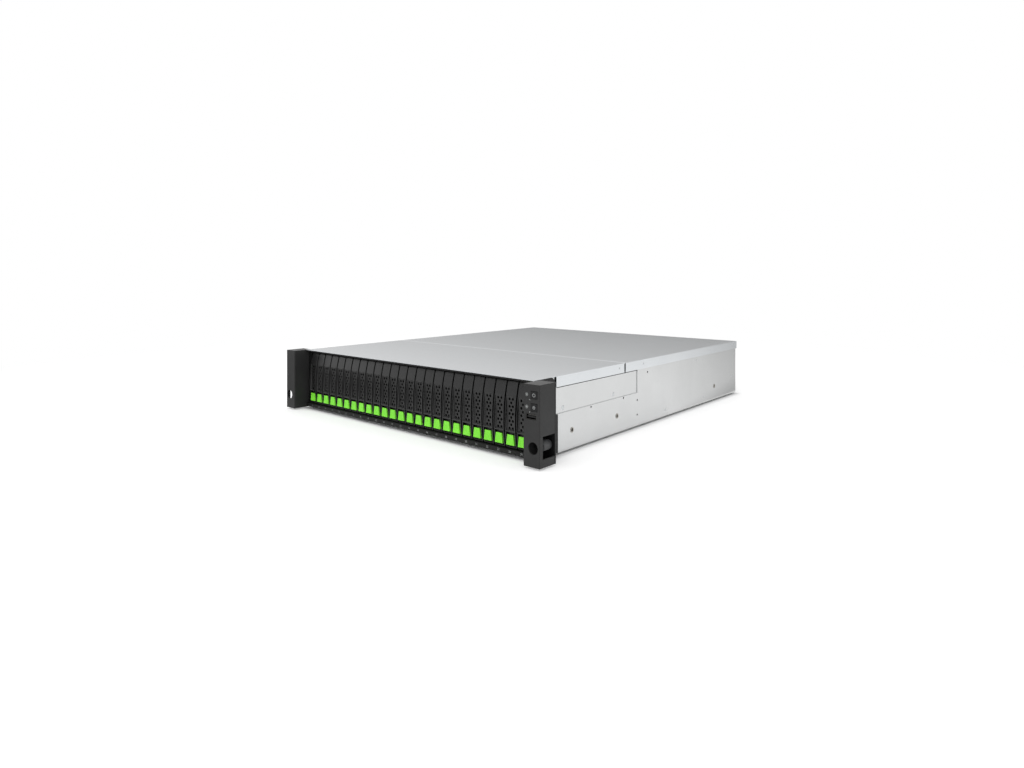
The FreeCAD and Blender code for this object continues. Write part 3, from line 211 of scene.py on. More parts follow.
def grey_card(name, corners, near, far, fade=1.0, soft=False):
    """A card of two shades from its first edge to its third; a soft one fades to white all round."""
    material = bpy.data.materials.new(name)
    material.use_nodes = True
    card_tree = material.node_tree
    card_tree.nodes.clear()
    along = add(card_tree, "ShaderNodeTexCoord").outputs["UV"]
    across, share = add(card_tree, "ShaderNodeSeparateXYZ", {0: along}).outputs[:2]
    shade = add(card_tree, "ShaderNodeMapRange",
                {"Value": share, "From Max": fade, "To Min": near, "To Max": far}).outputs[0]
    if soft:
        cover = add(card_tree, "ShaderNodeMath", {0: hump(card_tree, across), 1: hump(card_tree, share)},
                    operation="MULTIPLY").outputs[0]
        cover = add(card_tree, "ShaderNodeMapRange", {"Value": cover, "From Max": FULL_COVER}).outputs[0]
        shade = add(card_tree, "ShaderNodeMix", {0: cover, 2: 1.0, 3: shade}).outputs[0]
    glow = add(card_tree, "ShaderNodeEmission", {"Color": linear("#FFFFFF"), "Strength": shade})
    add(card_tree, "ShaderNodeOutputMaterial", {"Surface": glow.outputs[0]})
    mesh = bpy.data.meshes.new(name)
    mesh.from_pydata(corners, [], [(0, 1, 2, 3)])
    mesh.uv_layers.new().data.foreach_set("uv", (0, 0, 1, 0, 1, 1, 0, 1))
    mesh.materials.append(material)
    card = bpy.data.objects.new(name, mesh)
    card.visible_camera = card.visible_diffuse = card.visible_shadow = card.visible_transmission = False
    scene.collection.objects.link(card)


grey_card("rear_card", [(-4.0, 1.7, 0.05), (1.2, 1.7, 0.05), (1.2, 1.7, 0.62), (-4.0, 1.7, 0.62)], 0.1, 1.0)
grey_card("side_card", [(0.225, 0.32, 0), (0.75, 1.4, 0), (0.75, 3.6, 0), (0.225, 1.4, 0)], 1.05, 0.58, 0.2)
grey_card("panel_card", [(-1.05, -0.02, 0), (0.1, -0.02, 0), (0.1, -0.5, 0), (-1.05, -0.5, 0)],
          0.25, 0.25, soft=True)
grey_card("head_card", [(-1.11, -0.87, 0.1), (-0.43, -1.43, 0.1), (-0.43, -1.43, 0.66), (-1.11, -0.87, 0.66)],
          0.3, 0.3, soft=True)
grey_card("left_head_card", [(-1.85, -0.55, 0.08), (-1.33, -1.33, 0.08), (-1.33, -1.33, 0.58),
                             (-1.85, -0.55, 0.58)], 1.3, 1.3, soft=True)

# %% Soft lamps
def soft_lamp(name, place, target, width, height, watts):
    """A rectangular lamp that faces a target; mirrors see only the sky and the cards."""
    lamp = bpy.data.objects.new(name, bpy.data.lights.new(name, "AREA"))
    lamp.data.shape = "RECTANGLE"
    lamp.data.size, lamp.data.size_y = width, height
    lamp.data.energy = watts
    lamp.visible_glossy = False
    lamp.location = place
    lamp.rotation_euler = (Vector(target) - Vector(place)).to_track_quat("-Z", "Y").to_euler()
    scene.collection.objects.link(lamp)


soft_lamp("front_lamp", (0.4, -1.65, 1.1), (0.1, 0.1, 0.05), 2.0, 1.8, 14)
soft_lamp("left_lamp", (-1.8, -1.1, 0.85), (-0.15, 0, 0.07), 1.0, 1.0, 3)
soft_lamp("fill_lamp", (-1.2, -1.55, 0.2), (0, 0, 0.05), 1.4, 0.4, 2)
scene.view_settings.view_transform = "Standard"
print("lamps:", len(bpy.data.lights))

# %% [markdown]
# ## Metals
# The chassis is steel sheet dipped in zinc and rolled smooth. It gives the eye a pale, satin mirror with
# faint clouds where the zinc crystals grew, small flecks, and thin lines along the rolling direction. Three
# patterns of those sizes are mixed into one, which changes the tone a little and the roughness with it,
# because that is what makes zinc look alive when it is turned.

# %% Patterns on a surface
def object_place(tree, stretch=(1.0, 1.0, 1.0)):
    """Object coordinates, squeezed along each axis."""
    place = add(tree, "ShaderNodeTexCoord").outputs["Object"]
    return add(tree, "ShaderNodeMapping", {"Vector": place, "Scale": stretch}).outputs[0]


MIDDLE_RANGE = {"From Min": 0.3, "From Max": 0.7}


def patterned(tree, shader, tone, dullness, relief):
    """Let patterns change the tone, the roughness and the relief of a surface."""
    (tone_by, dull, pale), (dull_by, low, high), (relief_by, strength, height_mm) = tone, dullness, relief
    share = add(tree, "ShaderNodeMapRange", {"Value": tone_by, **MIDDLE_RANGE}).outputs[0]
    colour = add(tree, "ShaderNodeMix", {0: share, 6: linear(dull), 7: linear(pale)},
                 data_type="RGBA").outputs[2]
    roughness = add(tree, "ShaderNodeMapRange",
                    {"Value": dull_by, **MIDDLE_RANGE, "To Min": low, "To Max": high}).outputs[0]
    bump = add(tree, "ShaderNodeBump",
               {"Height": relief_by, "Strength": strength, "Distance": height_mm * MM}).outputs[0]
    for socket, value in (("Base Color", colour), ("Roughness", roughness), ("Normal", bump)):
        tree.links.new(value, shader.inputs[socket])


print("patterns are read between", list(MIDDLE_RANGE.values()))

# %% Galvanised sheet and other plated metal
EVEN, ROLLED = (1.0, 1.0, 1.0), (1.0, 0.03, 1.0)
# Width in millimetres, detail and stretch of the clouds, the flecks and the rolling lines
ZINC_PATTERNS = ((34, 3.0, EVEN), (3.5, 2.0, EVEN), (1.4, 3.0, ROLLED))
FLECK_SHARE, STREAK_SHARE = 0.25, 0.2
ZINC_SWING = 0.015


def zinc_sheet(name, pale, dull, roughness):
    """Galvanised steel: clouded zinc with rolling lines along the depth of the chassis."""
    material, tree, shader = new_material(name)
    clouds, flecks, streaks = [
        add(tree, "ShaderNodeTexNoise", {"Vector": object_place(tree, stretch), "Scale": 1 / (width_mm * MM),
                                         "Detail": detail}).outputs[0]
        for width_mm, detail, stretch in ZINC_PATTERNS]
    grown_zinc = add(tree, "ShaderNodeMix", {0: FLECK_SHARE, 2: clouds, 3: flecks}).outputs[0]
    pattern = add(tree, "ShaderNodeMix", {0: STREAK_SHARE, 2: grown_zinc, 3: streaks}).outputs[0]
    patterned(tree, shader, (pattern, dull, pale), (pattern, roughness + ZINC_SWING, roughness - ZINC_SWING),
              (streaks, 0.05, 0.02))
    shader.inputs["Metallic"].default_value = 1.0
    return material


# Lids and bulkhead: a pale, clouded, satin mirror
galvanised_steel = zinc_sheet("galvanised_steel", "#D6D9DB", "#D1D4D7", 0.20)
# Pan: the same zinc, a touch duller
pan_steel = zinc_sheet("galvanised_pan_steel", "#CECFCF", "#C9CACA", 0.20)
# Module cases, drive covers and rivets: an even plating with a broader shine
module_steel = zinc_sheet("zinc_plated_steel", "#CBCECF", "#C3C7C8", 0.32)
# Shell of the USB socket: a dark, warm mirror
black_nickel = zinc_sheet("black_nickel_plate", "#5C5B59", "#51504E", 0.3)
# Nuts, shanks and port cages: warm, with a close shine
nickel_plate = zinc_sheet("nickel_plated_steel", "#B5B2AC", "#A6A39D", 0.25)
# Contacts: a small yellow glint
contact_gold = zinc_sheet("gold_flashed_contacts", "#E3C274", "#D3AE5C", 0.25)
# Base of a drive: grey and dull, as castings are
cast_aluminium = zinc_sheet("die_cast_aluminium", "#B9BBBD", "#A9ACAE", 0.48)
print("metals:", galvanised_steel.name, module_steel.name, nickel_plate.name, cast_aluminium.name)

# %% [markdown]
# ## Plastics and paint
# The front is moulded in black plastic from a spark-eroded tool, which leaves a fine even grain; the
# latches are the same process in a green that the eye finds at once. Paint on the brackets has the soft
# orange peel of powder coat. All of them are one recipe with its own grain width and height: a fine random
# relief, a slow change of tone, and a roughness that follows the grain.

# %% Moulded and coated surfaces
GRAIN_SWING = 0.06


def grained(name, pale, dull, grain_mm, height_mm, roughness, cloud_mm=30, gloss=0.3):
    """A moulded or coated surface with a fine relief of that grain width and height."""
    material, tree, shader = new_material(name)
    place = object_place(tree)
    grain, clouds = [
        add(tree, "ShaderNodeTexNoise", {"Vector": place, "Scale": 1 / (width_mm * MM),
                                         "Detail": detail}).outputs[0]
        for width_mm, detail in ((grain_mm, 3.0), (cloud_mm, 2.0))]
    patterned(tree, shader, (clouds, dull, pale), (grain, roughness - GRAIN_SWING, roughness + GRAIN_SWING),
              (grain, 0.5, height_mm))
    shader.inputs["Specular IOR Level"].default_value = gloss
    return material


# Grain of 0.1 mm is too fine to show, so it is drawn four times as coarse
# Ear covers: charcoal with a soft, even sheen
ear_abs = grained("black_abs", "#333333", "#2E2E2E", 0.4, 0.03, 0.38, gloss=0.17)
# Levers and carriers: near black, with clear lights along the bow
tray_abs = grained("black_pc_abs", "#1B1B1B", "#161616", 0.4, 0.03, 0.36, gloss=0.6)
# Front frame, and the black strip of painted shadow under each lid flange: a black that draws no eye
frame_abs = grained("deep_black_abs", "#0D0D0D", "#090909", 0.4, 0.03, 0.55)
# Near-black pads behind the grilles: painted shadow that makes the holes look deep
hole_shadow_black = grained("painted_hole_shadow", "#060606", "#030303", 1.0, 0.2, 0.9, gloss=0.05)
# Latches: a fresh green that says where to touch
latch_pom = grained("green_pom", "#82E63E", "#79DC37", 0.5, 0.02, 0.38)
# Brackets and bails: black with a slow orange peel
powder_coat = grained("black_powder_coat", "#131314", "#0E0E0F", 0.9, 0.03, 0.48)
# Buttons, guides, sockets and fans: an even, dull black
pbt = grained("black_pbt", "#131314", "#0E0E0F", 0.5, 0.03, 0.52)
# Numbers and marks: flat grey ink
print_ink = grained("grey_pad_print", "#9A9C9C", "#8E9090", 0.3, 0.005, 0.6)
# Boards: deep green varnish with a wet look
solder_mask = grained("green_solder_mask", "#1E5B38", "#184E2F", 1.2, 0.02, 0.35, 8)
# Cam levers of the controllers: mid grey, a little soft
lever_pc = grained("grey_polycarbonate", "#5C6165", "#54595D", 0.5, 0.03, 0.45)
# Knobs of the thumbscrews: dark grey that lights up on the knurl
anodised = grained("anodised_aluminium", "#454647", "#3D3E3F", 0.3, 0.01, 0.4, gloss=0.5)
# Pale strip in the step of the side: a painted highlight line without shine
painted_step_highlight = grained("pale_painted_highlight", "#D6D8D8", "#CDCFCF", 1.5, 0.02, 0.6)
# Small lights: milky and half clear
light_pipe = grained("clear_polycarbonate", "#C4C8C6", "#B6BBB9", 0.5, 0.005, 0.15)
light_pipe.node_tree.nodes["Principled BSDF"].inputs["Transmission Weight"].default_value = 0.5
print("materials:", len(bpy.data.materials))

# %% [markdown]
# ## From frame to shown piece
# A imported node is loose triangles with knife-sharp edges. Real sheet and mouldings have small rounded
# edges that catch the light, so most pieces here are copies: welded, split into their separate solids, with
# flat faces joined up again, and rounded by a Bevel modifier. Hardened normals keep the broad faces of sheet
# flat right up to the rounding; on bowed mouldings a Weighted Normal modifier does that and also keeps the
# bow smooth. The modifiers are applied, so that what is hung on a body is a plain mesh.

# %% Copies of a node's solids
def grown(start, waiting):
    """The faces that join a first face across edges that two faces share."""
    group, reached = [start], [start]
    while reached:
        for edge in reached.pop().edges:
            for face in edge.link_faces if len(edge.link_faces) == 2 else ():
                if face in waiting:
                    waiting.remove(face)
                    group.append(face)
                    reached.append(face)
    return group


def copy_of(faces, name):
    """A mesh of those faces, with coplanar triangles joined."""
    work, corner = bmesh.new(), {}
    for face in faces:
        for vert in face.verts:
            if vert not in corner:
                corner[vert] = work.verts.new(vert.co)
        work.faces.new([corner[vert] for vert in face.verts])
    bmesh.ops.dissolve_limit(work, angle_limit=math.radians(0.5), verts=work.verts[:], edges=work.edges[:])
    mesh = bpy.data.meshes.new(name)
    work.to_mesh(mesh)
    work.free()
    return mesh


def solids(node):
    """The separate solids of a node as meshes, the one with the largest box first."""
    work = bmesh.new()
    work.from_mesh(frame["nodes"][node].data)
    bmesh.ops.remove_doubles(work, verts=work.verts[:], dist=0.002 * MM)
    waiting, found = set(work.faces), []
    while waiting:
        found.append(copy_of(grown(waiting.pop(), waiting), node))
    work.free()
    return sorted(found, key=lambda mesh: -box_size(mesh))


def box_size(mesh):
    """The volume of a mesh's box."""
    sides = [[vert.co[axis] for vert in mesh.vertices] for axis in range(3)]
    return math.prod(max(side) - min(side) for side in sides)


print("box of the pan: %.1f litres" % (box_size(frame["nodes"]["base_pan"].data) * 1000))

# %% Rounding
def applied(blank):
    """The plain mesh that an object's modifiers make; the object goes."""
    seen_as = blank.evaluated_get(bpy.context.evaluated_depsgraph_get())
    mesh = bpy.data.meshes.new_from_object(seen_as)
    bpy.data.objects.remove(blank)
    return mesh


def blank_of(mesh):
    """A working object that carries a mesh."""
    blank = bpy.data.objects.new("blank", mesh)
    scene.collection.objects.link(blank)
    return blank


def weigh_edges(mesh, angle, rule):
    """Give bevel weight to the sharp edges: full weight, or what a rule says."""
    work = bmesh.new()
    work.from_mesh(mesh)
    weight = work.edges.layers.float.new("bevel_weight_edge")
    for edge in work.edges:
        if len(edge.link_faces) == 2 and edge.calc_face_angle() > math.radians(angle):
            edge[weight] = rule(edge) if rule else 1.0
    work.to_mesh(mesh)
    work.free()


def rounded(mesh, width, segments=2, angle=30, bowed=False, rule=None):
    """The mesh with its sharp edges rounded and its broad faces flat, or smooth where it is bowed."""
    weigh_edges(mesh, angle, rule)
    mesh.polygons.foreach_set("use_smooth", [True] * len(mesh.polygons))
    blank = blank_of(mesh)
    edge = blank.modifiers.new("rounding", "BEVEL")
    edge.width, edge.segments = width * MM, segments
    edge.limit_method = "WEIGHT"
    edge.use_clamp_overlap = False
    if bowed:
        blank.modifiers.new("flat_faces", "WEIGHTED_NORMAL").keep_sharp = True
    else:
        mesh.set_sharp_from_angle(angle=math.radians(angle))
        edge.harden_normals = True
    return applied(blank)


# %% Hanging a piece on its body
def hang(name, mesh, material, body, stands_for=(), slot=None):
    """Show a mesh as a piece of that material on a body, in place of the nodes it stands for."""
    mesh.materials.clear()
    mesh.materials.append(material)
    piece = bpy.data.objects.new(name, mesh)
    scene.collection.objects.link(piece)
    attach(piece, body)
    if stands_for:
        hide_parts(*stands_for)
    return piece


def dress(node, material, body, width, slot):
    """Show a one-solid node as a rounded copy."""
    return hang(node + "_shown", rounded(solids(node)[0], width), material, body, [node], slot)


# %% [markdown]
# ## Forms drawn from outlines
# Mouldings such as the levers, latches and buttons are drawn rather than copied. An outline pushed along an
# axis and a profile turned round an axis make nearly all of them, as they would on a designer's screen.

# %% Pushed outlines and turned profiles
def set_along(axis, along, pair):
    """A point from its distance along an axis and the two other coordinates, in metres."""
    order = {"X": (along, *pair), "Y": (pair[0], along, pair[1]), "Z": (*pair, along)}
    return Vector(order[axis]) * MM


def meshed(work, name):
    """A mesh from a working one, with its faces turned outwards."""
    bmesh.ops.recalc_face_normals(work, faces=work.faces[:])
    mesh = bpy.data.meshes.new(name)
    work.to_mesh(mesh)
    work.free()
    return mesh


def pushed(name, outline, axis, start, end):
    """A prism: an outline pushed from start to end along an axis."""
    work = bmesh.new()
    ends = [[work.verts.new(set_along(axis, at, pair)) for pair in outline] for at in (start, end)]
    for k in range(len(outline)):
        work.faces.new((ends[0][k - 1], ends[0][k], ends[1][k], ends[1][k - 1]))
    for ring in ends:
        work.faces.new(ring)
    return meshed(work, name)


def turned(name, profile, axis, centre, count, wave=None):
    """A profile of (along, radius) turned round an axis; wave changes the radius by step and angle."""
    work, rings = bmesh.new(), []
    for step, (along, radius) in enumerate(profile):
        ring = []
        for k in range(count):
            angle = 2 * math.pi * k / count
            reach = radius + (wave(step, k) if wave else 0.0)
            pair = (centre[0] + reach * math.cos(angle), centre[1] + reach * math.sin(angle))
            ring.append(work.verts.new(set_along(axis, along, pair)))
        rings.append(ring)
    for low, high in zip(rings, rings[1:]):
        for k in range(count):
            work.faces.new((low[k - 1], low[k], high[k], high[k - 1]))
    work.faces.new(rings[0])
    work.faces.new(rings[-1])
    return meshed(work, name)


print("a point 2 along Y between 1 and 3:", tuple(round(v / MM) for v in set_along("Y", 2, (1, 3))))

# %% Joined forms and blocks
def joined(name, *meshes):
    """Several meshes as one."""
    work = bmesh.new()
    for mesh in meshes:
        work.from_mesh(mesh)
    mesh = bpy.data.meshes.new(name)
    work.to_mesh(mesh)
    work.free()
    return mesh


def block(name, low, high):
    """A box between two corners."""
    corners = [(low[1], low[2]), (high[1], low[2]), (high[1], high[2]), (low[1], high[2])]
    return pushed(name, corners, "X", low[0], high[0])


print("a block has", len(block("block", (0, 0, 0), (1, 1, 1)).polygons), "faces")

# %% [markdown]
# ## Sheet metal
# The pan, the lids and the bulkhead are bent sheet, so they only need their edges eased. The small holes
# beside the rail holes, the press nuts in the rail holes and the rivet heads are not in the frame. Holes of
# one size are cut by a Geometry Nodes tree that puts a cutter on each point of a point mesh, which keeps all
# the places in one short list. The rear lid's front edge is cranked down a little, so that the seam between
# the lids catches a thin line of light.

# %% A tree that drills round holes
def new_tree(name, sockets):
    """A geometry tree with those named inputs, and the sockets that give them."""
    tree = bpy.data.node_groups.new(name, "GeometryNodeTree")
    tree.interface.new_socket("Geometry", in_out="OUTPUT", socket_type="NodeSocketGeometry")
    for label, kind in sockets.items():
        tree.interface.new_socket(label, in_out="INPUT", socket_type="NodeSocket" + kind)
    return tree, add(tree, "NodeGroupInput").outputs


def worked(blank, tree, values):
    """The plain mesh that a tree makes of a working object, with the tree's inputs set by identifier."""
    step = blank.modifiers.new("tree", "NODES")
    step.node_group = tree
    for item in tree.interface.items_tree:
        if item.name in values:
            step[item.identifier] = values[item.name]
    return applied(blank)


def facing_points(places):
    """A point mesh whose points carry the direction that they face; places are (point, direction)."""
    mesh = bpy.data.meshes.new("points")
    mesh.from_pydata([Vector(point) * MM for point, _ in places], [], [])
    facing = mesh.attributes.new("facing", "FLOAT_VECTOR", "POINT")
    facing.data.foreach_set("vector", [value for _, direction in places for value in direction])
    return blank_of(mesh)


def facing_turn(tree):
    """The rotation that turns an upright shape to a point's facing direction."""
    facing = add(tree, "GeometryNodeInputNamedAttribute", {"Name": "facing"}, data_type="FLOAT_VECTOR")
    return add(tree, "FunctionNodeAlignRotationToVector", {"Vector": facing.outputs[0]}, axis="Z").outputs[0]


def painted_out(tree, shape, material):
    """Give a tree's shape its material and send it to the output."""
    painted = add(tree, "GeometryNodeSetMaterial", {"Geometry": shape, "Material": material})
    add(tree, "NodeGroupOutput", {0: painted.outputs[0]})


drill_tree, given = new_tree("drill", {"Sheet": "Geometry", "Places": "Object", "Radius": "Float",
                                       "Depth": "Float", "Material": "Material"})
places = add(drill_tree, "GeometryNodeObjectInfo", {"Object": given["Places"]}).outputs["Geometry"]
cutter = add(drill_tree, "GeometryNodeMeshCylinder",
             {"Vertices": 24, "Radius": given["Radius"], "Depth": given["Depth"]}).outputs[0]
cutters = add(drill_tree, "GeometryNodeInstanceOnPoints",
              {"Points": places, "Instance": cutter, "Rotation": facing_turn(drill_tree)}).outputs[0]
real = add(drill_tree, "GeometryNodeRealizeInstances", {0: cutters}).outputs[0]
cut = add(drill_tree, "GeometryNodeMeshBoolean", {0: given["Sheet"], 1: real},
          operation="DIFFERENCE", solver="EXACT").outputs[0]
painted_out(drill_tree, cut, given["Material"])
print("drill tree:", len(drill_tree.nodes), "nodes")

# %% Pan, lids and bulkhead
HOLE_EDGE, FLOOR_LEVEL, CUT_EDGE_WEIGHT = 8, 0.5, 0.25


def pan_bend(edge):
    """Bends along the floor are round, other long edges are cut edges, and holes stay sharp."""
    if edge.calc_length() < HOLE_EDGE * MM:
        return 0.0
    return 1.0 if all(vert.co.z < FLOOR_LEVEL * MM for vert in edge.verts) else CUT_EDGE_WEIGHT


both_sides = (1, -1)


def on_sides(x, spots):
    """Places at those (y, z) spots on both side walls, facing outwards."""
    return [((s * x, y, z), (s, 0, 0)) for s in both_sides for y, z in spots]


def eased_front(mesh, run, drop):
    """A rounded mesh with its top cranked down a little along the front edge, and flat faces."""
    work = bmesh.new()
    work.from_mesh(mesh)
    front, top = min(vert.co.y for vert in work.verts), max(vert.co.z for vert in work.verts)
    bmesh.ops.bisect_plane(work, geom=work.verts[:] + work.edges[:] + work.faces[:],
                           plane_co=(0, front + run * MM, 0), plane_no=(0, 1, 0))
    for vert in work.verts:
        if vert.co.z > top - 0.5 * MM:
            vert.co.z -= drop * MM * max(0.0, 1 - (vert.co.y - front) / (run * MM))
    eased = bpy.data.meshes.new(mesh.name)
    work.to_mesh(eased)
    work.free()
    eased.attributes.remove(eased.attributes["custom_normal"])
    eased.set_sharp_from_angle(angle=math.radians(3))
    return eased


SIDE = 219.0
SMALL_HOLES = [(105.9, 42.8), (182.9, 42.8), (218.8, 35.0), (218.8, 15.5), (247.4, 69.4)]
hole_places = facing_points(on_sides(SIDE, SMALL_HOLES))
pan = worked(blank_of(solids("base_pan")[0]), drill_tree,
             {"Places": hole_places, "Radius": 1.3 * MM, "Depth": 6 * MM, "Material": pan_steel})
bpy.data.objects.remove(hole_places)
pan = rounded(pan, 1.2, 3, rule=pan_bend)
hang("base_pan_shown", pan, pan_steel, "chassis", ["base_pan"], "chassis_steel")
dress("front_lid", galvanised_steel, "chassis", 0.45, "chassis_steel")
SEAM_RUN, SEAM_DROP = 2.5, 0.22
lid = eased_front(rounded(solids("rear_lid")[0], 0.45), SEAM_RUN, SEAM_DROP)
hang("rear_lid_shown", lid, galvanised_steel, "rear_lid", ["rear_lid"], "chassis_steel")
dress("rear_bulkhead", galvanised_steel, "chassis", 0.2, "chassis_steel")
print("pan:", len(pan.polygons), "faces")

# %% [markdown]
# ## Painted shadow and highlight lines
# The upper front of each side wall is stepped in, and the lid's flange ends above the step. A black strip
# under the flange paints the shadow line of that joint, and a thin pale strip without shine paints the light
# caught by the step's lower and rear edges. Only an edge of each is seen, so plain blocks are enough.

# %% Painted shadow and highlight lines
RECESS = 218.2
STEP_FRONT, STEP_REAR, STEP_FOOT = 36.0, 219.4, 45.0
FLANGE_SHADOW_FOOT, FLANGE_SHADOW_TOP = 74.4, 75.5
HIGHLIGHT_WIDTH = 0.2
HANDS = (("right", 1), ("left", -1))
for hand, sign in HANDS:
    low, high = sorted((sign * RECESS, sign * SIDE))
    # A black strip under the flange: painted shadow
    flange_shadow_strip = block("flange_shadow_strip", (low, STEP_FRONT, FLANGE_SHADOW_FOOT), (high, STEP_REAR - HIGHLIGHT_WIDTH, FLANGE_SHADOW_TOP))
    hang("lid_seal_" + hand, rounded(flange_shadow_strip, 0.2), frame_abs, "chassis")
    # Pale strips along the step's lower and rear edges: painted highlight
    highlight_lines = [block("highlight_line", (low, STEP_FRONT, STEP_FOOT), (high, STEP_REAR, STEP_FOOT + HIGHLIGHT_WIDTH)),
             block("highlight_line", (low, STEP_REAR - HIGHLIGHT_WIDTH, STEP_FOOT), (high, STEP_REAR, FLANGE_SHADOW_FOOT))]
    hang("step_sealant_" + hand, joined("highlight_lines", *highlight_lines), painted_step_highlight, "chassis")
print("step in each side: %.1f mm deep" % (SIDE - RECESS))

# %% [markdown]
# ## Rivets, screws and press nuts
# Fasteners repeat in a handful of shapes, so each shape is drawn once, standing up on the origin, and one
# Geometry Nodes tree stands a copy on each point, turned to face the way the point says. Realised and
# converted, all fasteners of one kind on one body are a single mesh.

# %% Fastener shapes
def cut_from(mesh, *cutters):
    """A mesh with other meshes cut out of it."""
    blank, tools = blank_of(mesh), [blank_of(cutter) for cutter in cutters]
    for tool in tools:
        cut = blank.modifiers.new("cut", "BOOLEAN")
        cut.operation, cut.solver, cut.object = "DIFFERENCE", "EXACT", tool
    made = applied(blank)
    for tool in tools:
        bpy.data.objects.remove(tool)
    return made


SUNK = 0.2


def rivet_shape(radius, rise):
    """A low domed rivet head."""
    dome = [(rise * math.sin(a), radius * math.cos(a)) for a in [k * math.pi / 12 for k in range(6)]]
    return turned("rivet", [(-SUNK, radius)] + dome, "Z", (0, 0), 20)


def screw_shape(radius, rise):
    """A pan-head screw with a cross recess."""
    head = turned("screw", [(-SUNK, radius), (0.55 * rise, radius), (0.9 * rise, 0.8 * radius),
                            (rise, 0.5 * radius)], "Z", (0, 0), 24)
    reach, thin = 0.58 * radius, 0.13 * radius
    return cut_from(head, *[block("arm", (-a, -b, 0.4 * rise), (a, b, rise + 0.5))
                            for a, b in ((reach, thin), (thin, reach))])


def nut_shape(outer, inner, depth):
    """A press nut in a hole: a sleeve with a flange on the sheet and an eased mouth."""
    flange = outer + 0.9
    return turned("nut", [(-depth, outer), (0.0, outer), (0.0, flange), (0.35, flange), (0.5, flange - 0.2),
                          (0.5, inner + 0.4), (0.0, inner), (-depth, inner)], "Z", (0, 0), 24)


lid_screw = screw_shape(1.5, 0.5)
print("lid screw:", len(lid_screw.polygons), "faces")

# %% The tree that places fasteners
fix_tree, given = new_tree("fasteners", {"Points": "Geometry", "Shape": "Object", "Material": "Material"})
shape = add(fix_tree, "GeometryNodeObjectInfo", {"Object": given["Shape"]}).outputs["Geometry"]
stood = add(fix_tree, "GeometryNodeInstanceOnPoints",
            {"Points": given["Points"], "Instance": shape, "Rotation": facing_turn(fix_tree)}).outputs[0]
real = add(fix_tree, "GeometryNodeRealizeInstances", {0: stood}).outputs[0]
painted_out(fix_tree, real, given["Material"])


def fasten(name, shape_mesh, places, material, body):
    """Hang one mesh that holds a fastener on each place."""
    shape_mesh.polygons.foreach_set("use_smooth", [True] * len(shape_mesh.polygons))
    shape_mesh.set_sharp_from_angle(angle=math.radians(35))
    tool = blank_of(shape_mesh)
    mesh = worked(facing_points(places), fix_tree, {"Shape": tool, "Material": material})
    bpy.data.objects.remove(tool)
    return hang(name, mesh, material, body)


print("fastener tree:", len(fix_tree.nodes), "nodes")

# %% Fasteners on the sides
STEP_RIVETS = [(47.9, 50.5), (158.7, 50.9)]
SIDE_RIVETS = [(403.0, 70.2), (300.0, 10.0), (430.0, 10.0), (545.0, 30.0)]
RAIL_HOLES = [(65.3, 22.0), (166.6, 22.0), (471.8, 22.0)]
FRONT_LID_SCREWS, REAR_LID_SCREWS = [(170.6, 82.4)], [(234.0, 82.3), (544.0, 83.2)]
FLANGE_SEAT = 219.95
fasten("step_rivets", rivet_shape(2.8, 0.45), on_sides(RECESS, STEP_RIVETS), module_steel, "chassis")
fasten("side_rivets", rivet_shape(1.7, 0.5), on_sides(SIDE, SIDE_RIVETS), module_steel, "chassis")
fasten("rail_nuts", nut_shape(2.49, 2.0, 6.0), on_sides(SIDE, RAIL_HOLES), nickel_plate, "chassis")
fasten("front_lid_screws", lid_screw, on_sides(FLANGE_SEAT, FRONT_LID_SCREWS), module_steel, "chassis")
fasten("rear_lid_screws", lid_screw, on_sides(FLANGE_SEAT, REAR_LID_SCREWS), module_steel, "rear_lid")
print("each side:", len(STEP_RIVETS + SIDE_RIVETS), "rivets and", len(RAIL_HOLES), "rail nuts")

# %% [markdown]
# ## Front frame and slot numbers
# The frame is a black moulding with a header over the trays and a sill under them. The sill carries a
# number for each slot, which is printed on the real thing. The numbers are text turned to a thin mesh, all
# in one piece, lying on the sill's front face.

# %% Front frame and numbers
PITCH, BAYS = 16.8, 25
SILL_FACE, SILL_MIDDLE, DIGIT_SIZE = -7.0, 4.7, 3.4


def tray_middle(number):
    """The middle of a tray, across the front."""
    return (number - (BAYS + 1) / 2) * PITCH


def lettered(words, size, x, y, z):
    """A word as a thin mesh that faces the front, centred on a point."""
    curve = bpy.data.curves.new("word", "FONT")
    curve.body, curve.size, curve.extrude = words, size * MM, 0.02 * MM
    curve.align_x, curve.align_y = "CENTER", "CENTER"
    curve.resolution_u = 3
    mesh = applied(blank_of(curve))
    mesh.transform(Matrix.Translation(Vector((x, y, z)) * MM) @ Matrix.Rotation(math.pi / 2, 4, "X"))
    return mesh


dress("front_frame", frame_abs, "chassis", 0.3, "front_black")
numbers = [lettered(str(n), DIGIT_SIZE, tray_middle(n), SILL_FACE - 0.01, SILL_MIDDLE)
           for n in range(1, BAYS + 1)]
hang("slot_numbers", joined("slot_numbers", *numbers), print_ink, "chassis")
print("slot numbers:", len(numbers))

# %% [markdown]
# ## Tray lever
# The lever is the face of a tray: a bowed moulding, smooth at the top, with a sunk panel of round holes; a
# near-black pad behind them paints the shadow inside the holes. Its side view is an outline, pushed across
# the tray. A Geometry Nodes tree cuts the panel and the holes: rows of two and of one, which is a rule, so
# counts and pitches are its inputs.

# %% The lever's side view
HALF_TRAY = 7.4
BOW_RADIUS, BOW_HEIGHT, BOW_REACH = 150.0, 40.0, 7.0
BOW_CENTRE = BOW_RADIUS - BOW_REACH
LEVER_BOTTOM, LEVER_TOP = 26.5, 83.2
LEVER_BACK, SHEET_FRONT = -2.4, -4.4
WALL, BACK_TURN = 1.6, 69.7


def bow(z, radius=BOW_RADIUS):
    """Where the bowed front lies at a height."""
    return BOW_CENTRE - math.sqrt(radius ** 2 - (z - BOW_HEIGHT) ** 2)


def heights(low, high, count):
    """Heights in even steps."""
    return [low + (high - low) * k / count for k in range(count + 1)]


